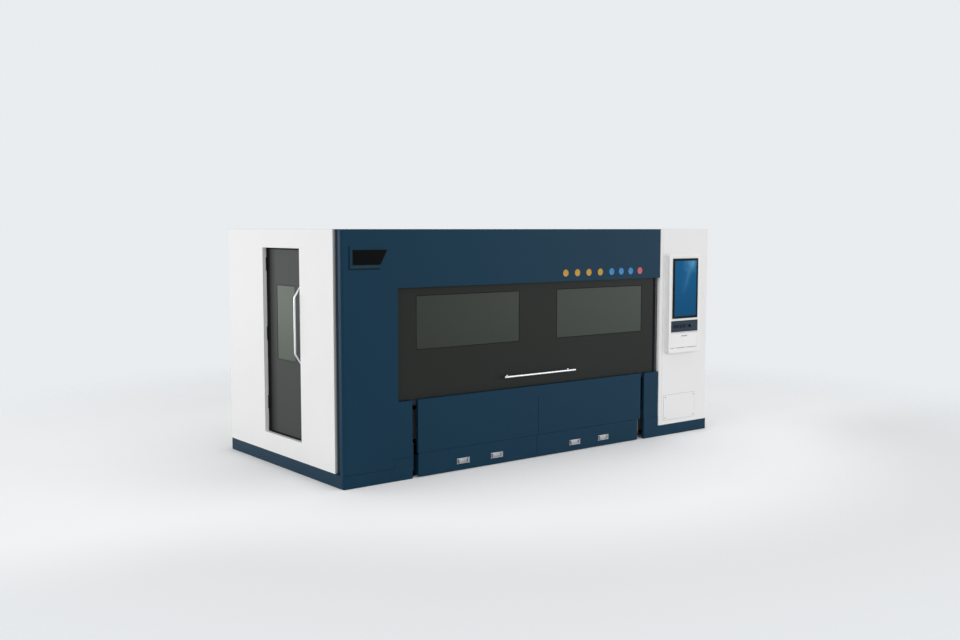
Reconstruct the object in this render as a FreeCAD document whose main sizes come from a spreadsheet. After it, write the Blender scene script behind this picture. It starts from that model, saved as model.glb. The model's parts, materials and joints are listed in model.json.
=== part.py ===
import FreeCAD, Part
import math
import os
import re
import Sketcher

# Enclosed sheet laser cutting machine, in millimetres.
# X runs from left to right along the front, Y into the depth and Z up.
# The origin is on the floor, in the middle of the footprint.

DIMS = {
    # enclosure
    "body_length": 4400,
    "body_depth": 2080,
    "body_height": 2100,
    "skin": 3,
    "panel_fold": 28,
    "jamb_fold": 38,
    "corner_round": 22,
    "plinth_height": 110,
    "plinth_step_height": 208,
    "left_pillar_width": 532,
    "left_pillar_foot_width": 671,
    "left_bay_gap": 61,
    "leg_strip": 37.5,
    "right_bay_gap": 50.5,
    "right_pillar_width": 204,
    "panel_seam": 2,
    "column_width": 724,
    "column_fold": 60,
    "sill_height": 665,
    "sill_depth": 90,
    "header_height": 1612,
    "side_return": 54,
    "groove_width": 81,
    "groove_depth": 26,
    "lower_setback": 4,
    "apron_slit_left": 17,
    "apron_slit_width": 3,
    "apron_slit_drop": 135,
    "apron_slit_end_radius": 5,
    "sill_end_gap": 1,
    "cut_past": 1,
    # tube frame
    "frame_tube": 60,
    "frame_wall": 4,
    "foot_plate_height": 12,
    "door_post_setback": 4,
    "door_header_gap": 15,
    # front door
    "door_recess": 30,
    "door_thickness": 40,
    "leaf_overlap": 25,
    "leaf_top_overlap": 38,
    "leaf_side_gap": 30,
    "seal_height": 2,
    "window_width": 1130,
    "window_height": 458,
    "window_bottom": 1085,
    "window_spacing": 450,
    "glass_thickness": 6,
    "glass_gap": 0.5,
    "glass_inset": 1,
    "window_ring_width": 15,
    "window_ring_thickness": 10,
    "door_lift": 800,
    "door_handle_length": 858,
    "door_handle_radius": 10,
    "door_handle_height": 778,
    "door_handle_reach": 40,
    "handle_post_radius": 7,
    "handle_post_inset": 60,
    "guide_depth": 27,
    "guide_width": 32,
    "guide_gap": 0.6,
    "shoe_height": 120,
    "shoe_first": 25,
    "shoe_pitch": 480,
    "barrel_radius": 14,
    "barrel_wall": 2.5,
    "barrel_base": 150,
    "barrel_margin": 80,
    "cylinder_gap": 3,
    "cylinder_left_offset": 7,
    "cylinder_right_offset": 12,
    "seat_reach_left": 20,
    "seat_reach_right": 18,
    "rod_radius": 6,
    "rod_show": 20,
    "lug_overhang": 8,
    "lug_reach": 40,
    "lug_depth": 30,
    "lug_thickness": 12,
    "piston_gap": 0.4,
    "piston_length": 20,
    "roof_slot_gap": 8,
    # side door
    "side_door_start": 561,
    "side_door_width": 680,
    "side_door_bottom": 277,
    "side_door_height": 1658,
    "side_door_recess": 42,
    "side_leaf_gap": 3,
    "side_window_start": 720,
    "side_window_width": 335,
    "side_window_bottom": 950,
    "side_window_height": 660,
    "hinge_radius": 6,
    "hinge_pin_radius": 3,
    "hinge_pin_gap": 0.1,
    "hinge_offset": 7,
    "hinge_inset": 4,
    "hinge_length": 120,
    "hinge_seat_gap": 0.5,
    "hinge_strap": 6,
    "hinge_strap_reach": 30,
    "hinge_lap": 2,
    "bow_radius": 11,
    "bow_reach": 65,
    "bow_bottom": 940,
    "bow_height": 680,
    "bow_slant": 98,
    "bow_inset": 41,
    "bow_bend": 30,
    # slag drawers
    "drawer_gap": 1.5,
    "drawer_length": 1500,
    "drawer_height": 178,
    "drawer_bottom": 12,
    "drawer_front_bottom": 5,
    "drawer_front_top": 206,
    "runner_width": 58,
    "runner_height": 11.7,
    "handle_plate_width": 138,
    "handle_plate_height": 50,
    "handle_plate_middle": 83,
    "handle_plate_offset": 188,
    "handle_plate_thickness": 2,
    "ear_rise": 13,
    "ear_radius": 7,
    "ear_thickness": 5,
    "ear_lap": 1,
    "bail_radius": 4,
    "bail_drop": 32,
    "bail_width": 110,
    "bail_pin_reach": 2,
    "bail_ear_gap": 1,
    # control console
    "console_width": 470,
    "console_left": 84,
    "console_bottom": 845,
    "console_height": 1003,
    "console_depth": 50,
    "console_inner_depth": 90,
    "console_round": 24,
    "console_lip": 24,
    "screen_width": 370,
    "screen_height": 607,
    "screen_bottom": 1193,
    "screen_bezel": 23,
    "bezel_stand": 10,
    "bezel_depth": 30,
    "screen_recess": 4,
    "screen_thickness": 2,
    "button_panel_width": 402,
    "button_panel_height": 114,
    "button_panel_bottom": 1055,
    "button_panel_depth": 4,
    "key_count": 4,
    "key_size": 38,
    "key_rise": 30.4,
    "key_pitch": 48,
    "key_start": 42,
    "knob_start": 279,
    "key_stand": 4,
    "key_travel": 3,
    "key_hole_gap": 0.5,
    "key_tail": 1,
    "knob_radius": 16,
    "knob_height": 22,
    "knob_gap": 0.25,
    "knob_grip_width": 8,
    "knob_grip_length": 30.4,
    "flap_width": 400,
    "flap_bottom": 893,
    "flap_height": 152,
    "flap_gap": 1.5,
    "flap_top_extra": 2,
    "flap_pin_radius": 2,
    "flap_barrel_radius": 3.5,
    "flap_axis_depth": 4,
    "flap_axis_rise": 6.5,
    "lip_width": 90,
    "lip_height": 14,
    "lip_drop": 26,
    "keyboard_thickness": 14,
    "keyboard_width": 350,
    "keyboard_height": 118,
    "keyboard_rise": 20,
    # badge plate and column access panel
    "badge_left": 117,
    "badge_length": 312,
    "badge_slant": 60,
    "badge_bottom": 1817,
    "badge_height": 114,
    "badge_thickness": 5,
    "access_left": 78,
    "access_width": 471,
    "access_bottom": 155,
    "access_height": 255,
    "access_thickness": 2,
    "access_lip": 22,
    "screw_head_radius": 5,
    # bed, table and motion
    "beam_width": 140,
    "beam_height": 260,
    "beam_top": 560,
    "beam_wall": 10,
    "beam_centre": 835,
    "cross_beam_height": 100,
    "cross_beam_width": 80,
    "cross_beam_narrow": 60,
    "cross_beam_shift": 8,
    "cross_tube": 40,
    "leg_bottom": 60,
    "leg_width": 33,
    "leg_side_width": 80,
    "leg_inset": 30,
    "foot_inset": 22,
    "foot_stud_radius": 8,
    "foot_nut_radius": 14.4,
    "foot_pad_radius": 16.5,
    "rail_width": 30,
    "rail_height": 26,
    "rail_end_inset": 10,
    "rail_clear": 6,
    "rack_width": 20,
    "rack_height": 25,
    "rack_offset": 35,
    "pinion_radius": 22,
    "pinion_gap": 0.3,
    "pinion_width": 22,
    "pinion_side_gap": 1,
    "pinion_room": 5,
    "slat_top": 700,
    "slat_height": 112,
    "slat_thickness": 4,
    "slat_pitch": 145,
    "slat_teeth": 10,
    "tooth_depth": 28,
    "table_half_width": 752,
    "table_tube_inset": 20,
    "table_margin": 12,
    "table_surplus": 50,
    "table_angle_width": 30,
    "table_angle_rise": 30,
    "head_travel_x": 3000,
    "head_travel_y": 1500,
    "head_inset": 30,
    "gantry_beam_width": 200,
    "gantry_beam_height": 230,
    "gantry_beam_bottom": 850,
    "gantry_foot_length": 300,
    "gantry_inset": 35,
    "y_rail_low": 45,
    "y_rail_high": 60,
    "y_rail_size": 15,
    "y_rack_width": 20,
    "y_rack_height": 20,
    "y_rack_setback": 12,
    "y_pinion_clear": 3,
    "y_shelf_rise": 42,
    "head_reach": 120,
    "carriage_height": 60,
    "carriage_half_width": 23,
    "carriage_block_length": 90,
    "block_end_inset": 5,
    "foot_width": 70,
    "shaft_radius": 8,
    "carriage_plate_width": 240,
    "plate_gap": 36,
    "plate_thickness": 20,
    "plate_drop": 20,
    "y_block_gap": 4,
    "y_block_lap": 12,
    "y_block_width": 60,
    "z_rail_spread": 45,
    "z_rail_width": 12,
    "z_rail_thickness": 6,
    "slide_thickness": 16,
    "slide_width": 120,
    "slide_drop": 10,
    "slide_top_gap": 20,
    "motor_size": 60,
    "motor_height": 128,
    "motor_gap": 2,
    "nozzle_gap": 40,
    "nozzle_tip_radius": 5,
    "nozzle_length": 60,
    "head_radius": 28,
    "head_barrel_length": 80,
    "head_body_width": 90,
    "head_body_height": 210,
    "collimator_radius": 24,
    "collimator_length": 120,
    "plug_radius": 11,
    "plug_length": 50,
    # cabinets
    "cabinet_gap": 20,
    "cabinet_start": 60,
    "cabinet_top": 1850,
    "source_setback": 120,
    "source_end": -80,
    "source_height": 520,
    # extraction
    "duct_radius": 80,
    "duct_wall": 3,
    "duct_above_plinth": 100,
    "suction_gap": 17,
    "suction_depth": 180,
    "suction_west": 30,
    "suction_east": 80,
    "intake_width": 360,
    "intake_height": 90,
    "chute_gap": 9,
    "chute_side_gap": 10,
    "chute_east_gap": 40,
    "chute_rear_inset": 30,
    "chute_west_inset": 28,
    "chute_east_inset": 20,
    "chute_split_gap": 34,
    "chute_split_low": 44,
    "duct_from_left": 1100,
    "duct_reach": 40,
}

PLACES = {
    "left": "-body_length / 2",
    "right": "body_length / 2",
    "front": "-body_depth / 2",
    "back": "body_depth / 2",
    "under_roof": "body_height - skin",
    "column_left": "right - column_width",
    "opening_left": "left + left_pillar_width",
    "pillar_foot_right": "left + left_pillar_foot_width",
    "bay_left": "pillar_foot_right + left_bay_gap",
    "pillar_right": "column_left - panel_seam",
    "pillar_left": "pillar_right - right_pillar_width",
    "bay_right": "pillar_left - right_bay_gap",
    "drawer_right": "bay_right - leg_strip",
    "drawer_pitch": "(drawer_right - bay_left) / 2",
    "drawer_split": "bay_left + drawer_pitch",
    "lower_face": "front + lower_setback",
    "groove_start": "front + side_return",
    "side_panel_start": "groove_start + groove_width",
    "door_front": "front + door_recess",
    "door_back": "door_front + door_thickness",
    "leaf_left": "opening_left - leaf_overlap",
    "leaf_right": "column_left - leaf_side_gap",
    "leaf_bottom": "sill_height + seal_height",
    "leaf_top": "header_height + leaf_top_overlap",
    "door_middle": "(opening_left + leaf_right) / 2",
    "frame_left": "left + jamb_fold",
    "frame_right": "right - jamb_fold",
    "frame_back": "back - panel_fold",
    "frame_top": "under_roof",
    "side_door_front": "side_panel_start + side_door_start",
    "side_door_back": "side_door_front + side_door_width",
    "side_door_top": "side_door_bottom + side_door_height",
    "side_leaf_face": "left + side_door_recess",
    "side_leaf_back": "side_door_back - side_leaf_gap",
    "hinge_x": "side_leaf_face - hinge_offset",
    "hinge_y": "side_leaf_back - hinge_inset",
    "guide_left": "leaf_left - panel_seam",
    "cylinder_left": "leaf_left - cylinder_left_offset",
    "cylinder_right": "leaf_right + cylinder_right_offset",
    "cylinder_y": "door_back + barrel_radius + cylinder_gap",
    "bail_y": "lower_face - handle_plate_thickness - ear_radius + ear_lap",
    "bail_z": "handle_plate_middle + ear_rise",
    "front_post": "front + column_fold",
    "rear_post": "frame_back - frame_tube",
    "post_top": "frame_top - frame_tube",
    "column_frame": "column_left + skin",
    "beam_inner": "beam_centre - beam_width / 2",
    "beam_outer": "beam_centre + beam_width / 2",
    "beam_bottom": "beam_top - beam_height",
    "bed_start": "frame_left + frame_tube",
    "bed_end": "column_left - leaf_side_gap",
    "slat_bottom": "slat_top - slat_height",
    "cross_top": "slat_bottom - skin",
    "cross_bottom": "cross_top - cross_tube",
    "work_left": "opening_left + head_inset",
    "work_front": "-head_travel_y / 2",
    "table_left": "work_left - table_margin",
    "table_right": "table_left + head_travel_x + table_surplus",
    "gantry_right": "work_left - head_reach",
    "gantry_left": "gantry_right - gantry_beam_width",
    "gantry_middle": "(gantry_left + gantry_right) / 2",
    "gantry_top": "gantry_beam_bottom + gantry_beam_height",
    "gantry_outer": "beam_outer - gantry_inset",
    "y_rail_lower": "gantry_beam_bottom + y_rail_low",
    "y_rail_upper": "gantry_top - y_rail_high",
    "y_rack_face": "gantry_right - y_rack_setback",
    "y_pinion_x": "y_rack_face + pinion_radius",
    "y_shelf_bottom": "gantry_top + y_shelf_rise",
    "y_shelf_top": "y_shelf_bottom + foot_plate_height",
    "plate_near": "gantry_right + plate_gap",
    "plate_far": "plate_near + plate_thickness",
    "nozzle_tip": "slat_top + nozzle_gap",
    "head_body_bottom": "nozzle_tip + nozzle_length + head_barrel_length",
    "head_body_top": "head_body_bottom + head_body_height",
    "foot_bottom": "beam_top + carriage_height",
    "rack_face": "beam_centre + rack_offset + rack_width / 2",
    "pinion_centre": "rack_face + pinion_radius",
    "duct_height": "plinth_height + duct_above_plinth",
    "duct_top": "duct_height + duct_radius",
    "chute_low": "drawer_front_top + chute_gap",
    "chute_side": "beam_inner - chute_side_gap",
    "chute_rear": "lower_face + drawer_length - chute_rear_inset",
    "chute_share": "(duct_top - chute_low) / (cross_bottom - chute_low)",
    "suction_start": "chute_rear + (chute_side - chute_rear) * chute_share + suction_gap",
    "suction_end": "suction_start + suction_depth",
    "console_front": "front - console_depth",
    "bezel_face": "console_front - bezel_stand",
    "console_x": "column_left + console_left",
    "console_middle": "console_x + console_width / 2",
    "button_panel_left": "console_middle - button_panel_width / 2",
    "flap_axis_y": "console_front + flap_axis_depth",
    "flap_axis_z": "flap_bottom + flap_axis_rise",
}

doc = FreeCAD.newDocument("laser_cutting_machine")


def bound(text):
    """Write each size or place named in text with the sheet that holds it."""

    def with_sheet(match):
        word = match.group(0)
        if word in DIMS:
            return "dims." + word
        if word in PLACES:
            return "places." + word
        return word

    return re.sub(r"[a-z][a-z0-9_]*", with_sheet, text)


def fill_sheet(name, rows, prefix):
    sheet = doc.addObject("Spreadsheet::Sheet", name)
    for row, (alias, content) in enumerate(rows.items(), start=1):
        sheet.set("A%d" % row, alias)
        sheet.setAlias("B%d" % row, alias)
        sheet.set("B%d" % row, prefix + bound(str(content)))
    doc.recompute()
    return sheet


dims = fill_sheet("dims", DIMS, "")
places = fill_sheet("places", PLACES, "=")


def size(name):
    """The number that a named size or place has now."""
    sheet = dims if name in DIMS else places
    return float(sheet.get(name))


# ---------------------------------------------------------------- primitives

NODES = []


def node(label, made):
    made.Label = label
    NODES.append(made)
    return made


def put(made, x, y, z):
    for axis, where in zip("xyz", (x, y, z)):
        made.setExpression("Placement.Base." + axis, bound(where))


def block(name, x, y, z):
    """A box between two places along each axis."""
    made = doc.addObject("Part::Box", name)
    for side, (low, high) in zip(("Length", "Width", "Height"), (x, y, z)):
        made.setExpression(side, bound("(%s) - (%s)" % (high, low)))
    put(made, x[0], y[0], z[0])
    return made


TURNS = {
    "x": FreeCAD.Rotation(FreeCAD.Vector(0, 1, 0), 90),
    "y": FreeCAD.Rotation(FreeCAD.Vector(1, 0, 0), -90),
    "z": FreeCAD.Rotation(),
}


def rod(name, start, radius, length, along):
    """A round bar that runs from its start in the positive direction."""
    made = doc.addObject("Part::Cylinder", name)
    made.Placement = FreeCAD.Placement(FreeCAD.Vector(), TURNS[along])
    made.setExpression("Radius", bound(radius))
    made.setExpression("Height", bound(length))
    put(made, *start)
    return made


def prism(name, start, radius, length, along, sides=12):
    """A small bar with flat sides, as wide as a round one across its edges."""
    made = doc.addObject("Part::Prism", name)
    made.Polygon = sides
    made.Placement = FreeCAD.Placement(FreeCAD.Vector(), TURNS[along])
    made.setExpression("Circumradius", bound(radius))
    made.setExpression("Height", bound(length))
    put(made, *start)
    return made


def fuse(name, members):
    made = doc.addObject("Part::MultiFuse", name)
    made.Shapes = members
    made.Refine = True
    return made


def cut(name, base, tools):
    made = doc.addObject("Part::Cut", name)
    made.Base = base
    made.Tool = tools[0] if len(tools) == 1 else fuse(name + "_tools", tools)
    made.Refine = True
    return made


def group(name, members):
    """Separate pieces that share one node."""
    made = doc.addObject("Part::Compound", name)
    made.Links = members
    return made


def tube(name, x, y, z, along, wall="frame_wall"):
    """A rectangular tube with open ends."""
    spans = {"x": x, "y": y, "z": z}
    inner = {}
    for axis, (low, high) in spans.items():
        if axis == along:
            inner[axis] = (low, high)
        else:
            inner[axis] = ("(%s) + %s" % (low, wall), "(%s) - %s" % (high, wall))
    outside = block(name + "_outside", x, y, z)
    inside = block(name + "_inside", inner["x"], inner["y"], inner["z"])
    return cut(name, outside, [inside])


def ring(name, start, outer, inner, length, along):
    outside = rod(name + "_outside", start, outer, length, along)
    inside = rod(name + "_inside", start, inner, length, along)
    return cut(name, outside, [inside])


# ------------------------------------------------------- folded sheet panels

def new_body(name, corner):
    body = doc.addObject("PartDesign::Body", name)
    put(body, *corner)
    return body


def new_sketch(body, name, role, offset="0"):
    sketch = body.newObject("Sketcher::SketchObject", name)
    plane = [part for part in body.Origin.OriginFeatures if part.Role == role][0]
    sketch.AttachmentSupport = [(plane, "")]
    sketch.MapMode = "FlatFace"
    sketch.setExpression("AttachmentOffset.Base.z", bound(offset))
    return sketch


STEPS = {"right": (1, 0), "up": (0, 1), "left": (-1, 0), "down": (0, -1)}
ON_X_AXIS = -1
ON_Y_AXIS = -2
ORIGIN = (-1, 1)


def fix_point(sketch, line, across, coordinate):
    """Hold the start of a line at a coordinate across or up from the origin."""
    if coordinate == "0":
        axis = ON_Y_AXIS if across else ON_X_AXIS
        sketch.addConstraint(Sketcher.Constraint("PointOnObject", line, 1, axis))
        return
    kind = "DistanceX" if across else "DistanceY"
    point = sketch.getPoint(line, 1)
    start = point.x if across else point.y
    number = sketch.addConstraint(Sketcher.Constraint(kind, *ORIGIN, line, 1, start))
    sketch.setExpression("Constraints[%d]" % number, bound(coordinate))


def draw_outline(sketch, moves):
    """Closed outline of level and upright lines, anticlockwise round solid metal.

    Each move names the way it goes and the coordinate that it reaches. The last
    two moves come back to the start.
    """
    first = sketch.GeometryCount
    count = len(moves)
    corners = [FreeCAD.Vector(10 * first + 5, 5, 0)]
    for way, _ in moves:
        step = FreeCAD.Vector(*STEPS[way], 0) * (40 + 7 * len(corners))
        corners.append(corners[-1] + step)
    corners[-1] = corners[0]
    for start, end in zip(corners, corners[1:]):
        sketch.addGeometry(Part.LineSegment(start, end), False)
    for index, (way, _) in enumerate(moves):
        following = first + (index + 1) % count
        sketch.addConstraint(
            Sketcher.Constraint("Coincident", first + index, 2, following, 1)
        )
    for index, (way, _) in enumerate(moves):
        kind = "Horizontal" if STEPS[way][0] else "Vertical"
        sketch.addConstraint(Sketcher.Constraint(kind, first + index))
    ends = {STEPS[way][0] != 0: coordinate for way, coordinate in moves[-2:]}
    fix_point(sketch, first, True, ends[True])
    fix_point(sketch, first, False, ends[False])
    for index, (way, coordinate) in enumerate(moves[:-2]):
        fix_point(sketch, first + index + 1, STEPS[way][0] != 0, coordinate)


def rectangle(x0, y0, x1, y1):
    return [("right", x1), ("up", y1), ("left", x0), ("down", y0)]


def moved_in(moves, by):
    """The same outline with each line moved towards the solid side."""
    inner = []
    for index, (way, coordinate) in enumerate(moves):
        next_way = moves[(index + 1) % len(moves)][0]
        sign = "-" if next_way in ("up", "left") else "+"
        inner.append((way, "(%s) %s (%s)" % (coordinate, sign, by)))
    return inner


def pad(body, name, sketch, length, reverse=False):
    made = body.newObject("PartDesign::Pad", name)
    made.Profile = sketch
    made.setExpression("Length", bound(length))
    made.Reversed = reverse
    return made


def pocket(body, name, sketch, reverse=False):
    made = body.newObject("PartDesign::Pocket", name)
    made.Profile = sketch
    made.Type = 1
    made.Reversed = reverse
    return made


# Each outer face: its sketch plane, the way the pad goes, where the hollow starts
# and the way it is cut.
FACINGS = {
    "front": ("XZ_Plane", True, "-skin", False),
    "back": ("XZ_Plane", True, "-(%s - skin)", True),
    "left": ("YZ_Plane", False, "skin", True),
    "right": ("YZ_Plane", False, "%s - skin", False),
}


def tray(name, corner, facing, moves, fold, windows=()):
    """A folded panel: outer skin, returned edges and returned windows."""
    plane, pad_reversed, hollow_start, hollow_reversed = FACINGS[facing]
    if "%s" in hollow_start:
        hollow_start = hollow_start % fold
    body = new_body(name, corner)
    face = new_sketch(body, name + "_face", plane)
    draw_outline(face, moves)
    for window in windows:
        draw_outline(face, window)
    pad(body, name + "_pad", face, fold, pad_reversed)
    hollow = new_sketch(body, name + "_hollow", plane, hollow_start)
    draw_outline(hollow, moved_in(moves, "skin"))
    for window in windows:
        draw_outline(hollow, moved_in(window, "-skin"))
    pocket(body, name + "_pocket", hollow, hollow_reversed)
    return body


NEAR = 0.01


def edges_at(shape, axes, place):
    """Edges that stand on one place, which two of the axes give."""
    names = []
    for number, edge in enumerate(shape.Edges, start=1):
        ends = [vertex.Point for vertex in edge.Vertexes]
        away = [abs(getattr(end, axis) - at) for end in ends for axis, at in zip(axes, place)]
        if len(ends) == 2 and max(away) < NEAR:
            names.append("Edge%d" % number)
    return names


def round_corner(body, name, places_and_radii, axes="xy"):
    """Round the edges of a body that stand on places in its own frame."""
    for count, (across, along, radius) in enumerate(places_and_radii):
        doc.recompute()
        before = body.Tip
        made = body.newObject("PartDesign::Fillet", "%s_round%d" % (name, count))
        made.Base = (before, edges_at(before.Shape, axes, (across, along)))
        made.setExpression("Radius", bound(radius))
    return body


# ------------------------------------------------------------ blue enclosure

def build_portal():
    """Left pillar and header: one folded sheet round the door opening."""
    moves = [
        ("right", "left_pillar_width"),
        ("up", "plinth_step_height - plinth_height"),
        ("right", "left_pillar_foot_width"),
        ("up", "sill_height - plinth_height"),
        ("left", "left_pillar_width"),
        ("up", "header_height - plinth_height"),
        ("right", "column_left - left"),
        ("up", "under_roof - plinth_height"),
        ("left", "0"),
        ("down", "0"),
    ]
    body = tray("portal", ("left", "front", "plinth_height"), "front", moves, "panel_fold")
    strip = new_sketch(body, "portal_return", "YZ_Plane")
    draw_outline(strip, rectangle("panel_fold", "0", "side_return", "under_roof - plinth_height"))
    pad(body, "portal_return_pad", strip, "skin")
    skin = size("skin")
    rounds = [(0, 0, "corner_round"), (skin, skin, "corner_round - skin")]
    node("front_portal", round_corner(body, "portal", rounds))


def build_plinth():
    """Kick plates on four sides, open at the drawers."""
    step = [
        ("right", "left_pillar_foot_width"),
        ("up", "plinth_step_height"),
        ("left", "left_pillar_width"),
        ("down", "plinth_height"),
        ("left", "0"),
        ("down", "0"),
    ]
    left_front = tray("plinth_left_front", ("left", "front", "0"), "front", step, "panel_fold")
    skin = size("skin")
    rounds = [(0, 0, "corner_round"), (skin, skin, "corner_round - skin")]
    round_corner(left_front, "plinth_left_front", rounds)
    right_step = [
        ("right", "right - pillar_left"),
        ("up", "plinth_height"),
        ("left", "right_pillar_width"),
        ("up", "plinth_step_height"),
        ("left", "0"),
        ("down", "0"),
    ]
    right_front = tray(
        "plinth_right_front", ("pillar_left", "front", "0"), "front", right_step, "panel_fold"
    )
    side = rectangle("0", "0", "body_depth - panel_fold", "plinth_height")
    left = tray(
        "plinth_left", ("left", "front + panel_fold", "0"), "left", side, "panel_fold"
    )
    right = tray(
        "plinth_right", ("right - panel_fold", "front + panel_fold", "0"), "right", side,
        "panel_fold",
    )
    rear_run = rectangle("0", "0", "body_length - 2 * panel_fold", "plinth_height")
    rear = tray(
        "plinth_rear", ("left + panel_fold", "back - panel_fold", "0"), "back", rear_run,
        "panel_fold",
    )
    node("base_plinth", group("plinths", [left_front, left, right_front, right, rear]))


def build_groove():
    """Dark channel between the blue corner and the white side panel."""
    tall = ("plinth_height", "under_roof")
    across = ("groove_start", "side_panel_start")
    whole = block("groove_whole", ("left + skin", "left + groove_depth + skin"), across, tall)
    mouth = block(
        "groove_mouth", ("left", "left + groove_depth"),
        ("groove_start + skin", "side_panel_start - skin"), tall,
    )
    node("corner_groove_channel", cut("groove", whole, [mouth]))


def build_left_panel():
    """White side panel with the doorway."""
    doorway = rectangle(
        "side_door_start", "side_door_bottom - plinth_height",
        "side_door_start + side_door_width", "side_door_top - plinth_height",
    )
    outline = rectangle(
        "0", "0", "back - side_panel_start - panel_fold", "under_roof - plinth_height"
    )
    corner = ("left", "side_panel_start", "plinth_height")
    node(
        "left_side_panel",
        tray("left_panel", corner, "left", outline, "jamb_fold", [doorway]),
    )


def build_rear_panels():
    """Three folded panels; the left one has the extraction hole."""
    width = "(body_length - 2 * panel_seam) / 3"
    outline = rectangle("0", "0", width, "under_roof - plinth_height")
    panels = []
    for number in range(3):
        west = "left + %d * (%s + panel_seam)" % (number, width)
        corner = (west, "back - panel_fold", "plinth_height")
        panels.append(tray("rear_panel_%d" % number, corner, "back", outline, "panel_fold"))
    hole = rod(
        "duct_hole", ("left + duct_from_left", "back - 2 * panel_fold", "duct_height"),
        "duct_radius + piston_gap", "3 * panel_fold", "y",
    )
    panels[0] = cut("rear_panel_bored", panels[0], [hole])
    node("rear_panels", group("rear_panel_set", panels))


def build_roof():
    """Roof sheet with the slot that the lifting door passes through."""
    sheet = block("roof_sheet", ("left", "right"), ("front", "back"), ("under_roof", "body_height"))
    slot = block(
        "roof_slot", ("leaf_left - guide_depth", "column_left"),
        ("door_front - roof_slot_gap", "door_back + roof_slot_gap"),
        ("under_roof - skin", "body_height + skin"),
    )
    node("roof_panel", cut("roof", sheet, [slot]))


def build_lower_front():
    """Apron over the drawers and the short blue pillar beside the column."""
    slit_left = "drawer_split + apron_slit_left"
    slit_top = "sill_height - apron_slit_drop"
    slit = block(
        "apron_slit", (slit_left, slit_left + " + apron_slit_width"),
        ("front", "lower_face + skin + cut_past"), ("plinth_step_height - cut_past", slit_top),
    )
    slit_end = rod(
        "apron_slit_end", (slit_left + " + apron_slit_width / 2", "front", slit_top),
        "apron_slit_end_radius", "lower_setback + skin + cut_past", "y",
    )
    outline = rectangle("0", "0", "bay_right - bay_left", "sill_height - plinth_step_height")
    corner = ("bay_left", "lower_face", "plinth_step_height")
    panel = tray("apron_panel", corner, "front", outline, "panel_fold")
    sill = block(
        "apron_sill", ("pillar_foot_right + sill_end_gap", "pillar_left - sill_end_gap"),
        ("lower_face + panel_fold - skin", "lower_face + sill_depth"),
        ("sill_height - skin", "sill_height"),
    )
    apron = fuse("apron_folded", [cut("apron_slotted", panel, [slit, slit_end]), sill])
    pillar = rectangle("0", "0", "right_pillar_width", "sill_height - plinth_step_height")
    corner = ("pillar_left", "lower_face", "plinth_step_height")
    short_pillar = tray("pillar", corner, "front", pillar, "panel_fold")
    node("lower_front_panels", group("lower_front", [apron, short_pillar]))


# ------------------------------------------------------------ white column

def console_hole():
    return (
        "console_left + console_lip", "console_bottom - plinth_height + console_lip",
        "console_left + console_width - console_lip",
        "console_bottom + console_height - plinth_height - console_lip",
    )


def build_column():
    """Front of the column, with the console's cut-out and a service hatch."""
    x0, z0, x1, z1 = console_hole()
    console_opening = rectangle(x0, z0, x1, z1)
    hatch = rectangle(
        "access_left + access_lip", "access_bottom - plinth_height + access_lip",
        "access_left + access_width - access_lip",
        "access_bottom + access_height - plinth_height - access_lip",
    )
    outline = rectangle("0", "0", "column_width", "under_roof - plinth_height")
    body = tray(
        "column", ("column_left", "front", "plinth_height"), "front", outline,
        "column_fold", [console_opening, hatch],
    )
    skin = size("skin")
    width = size("column_width")
    rounds = [
        (0, 0, "corner_round"),
        (skin, skin, "corner_round - skin"),
        (width, 0, "corner_round"),
        (width - skin, skin, "corner_round - skin"),
    ]
    node("column_front", round_corner(body, "column", rounds))
    cover = block(
        "access_cover", ("column_left + access_left", "column_left + access_left + access_width"),
        ("front - access_thickness", "front"), ("access_bottom", "access_bottom + access_height"),
    )
    heads = []
    for number, (across, up) in enumerate([(1, 1), (1, 11), (19, 1), (19, 11)]):
        start = (
            "column_left + access_left + access_width * %d / 20" % across,
            "front - 2 * access_thickness",
            "access_bottom + access_height * %d / 12" % up,
        )
        heads.append(prism(
            "access_screw_%d" % number, start, "screw_head_radius", "access_thickness", "y", 6))
    node("column_access_cover", group("access_cover_set", [cover] + heads))


def build_column_sides():
    """Right outer panel and the inner wall between column and work area."""
    length = "body_depth - column_fold - panel_fold"
    outline = rectangle("0", "0", length, "under_roof - plinth_height")
    outer = tray(
        "right_panel", ("right - jamb_fold", "front + column_fold", "plinth_height"),
        "right", outline, "jamb_fold",
    )
    inner = block(
        "inner_wall", ("column_left", "column_left + skin"),
        ("front + column_fold", "back - panel_fold"), ("plinth_height", "under_roof"),
    )
    node("column_side_panels", group("column_sides", [outer, inner]))


def build_badge():
    """Black plate with a slanting right end, standing proud of the pillar."""
    body = new_body("badge", ("left + badge_left", "front - badge_thickness", "badge_bottom"))
    sketch = new_sketch(body, "badge_face", "XZ_Plane")
    draw_outline(sketch, rectangle("0", "0", "badge_length", "badge_height"))
    pad(body, "badge_pad", sketch, "badge_thickness", True)
    doc.recompute()
    made = doc.addObject("Part::Feature", "badge_slanted")
    length, height = size("badge_length"), size("badge_height")
    past = size("cut_past")
    corner = [
        FreeCAD.Vector(length - size("badge_slant"), -past, 0),
        FreeCAD.Vector(length + past, -past, 0),
        FreeCAD.Vector(length + past, -past, height),
        FreeCAD.Vector(length, -past, height),
    ]
    corner.append(corner[0])
    wedge = Part.Face(Part.makePolygon(corner)).extrude(
        FreeCAD.Vector(0, size("badge_thickness") + 2 * past, 0))
    made.Shape = body.Shape.transformed(body.Placement.inverse().toMatrix()).cut(wedge)
    put(made, "left + badge_left", "front - badge_thickness", "badge_bottom")
    node("badge_plate", made)


# ---------------------------------------------------------------- tube frame

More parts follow.
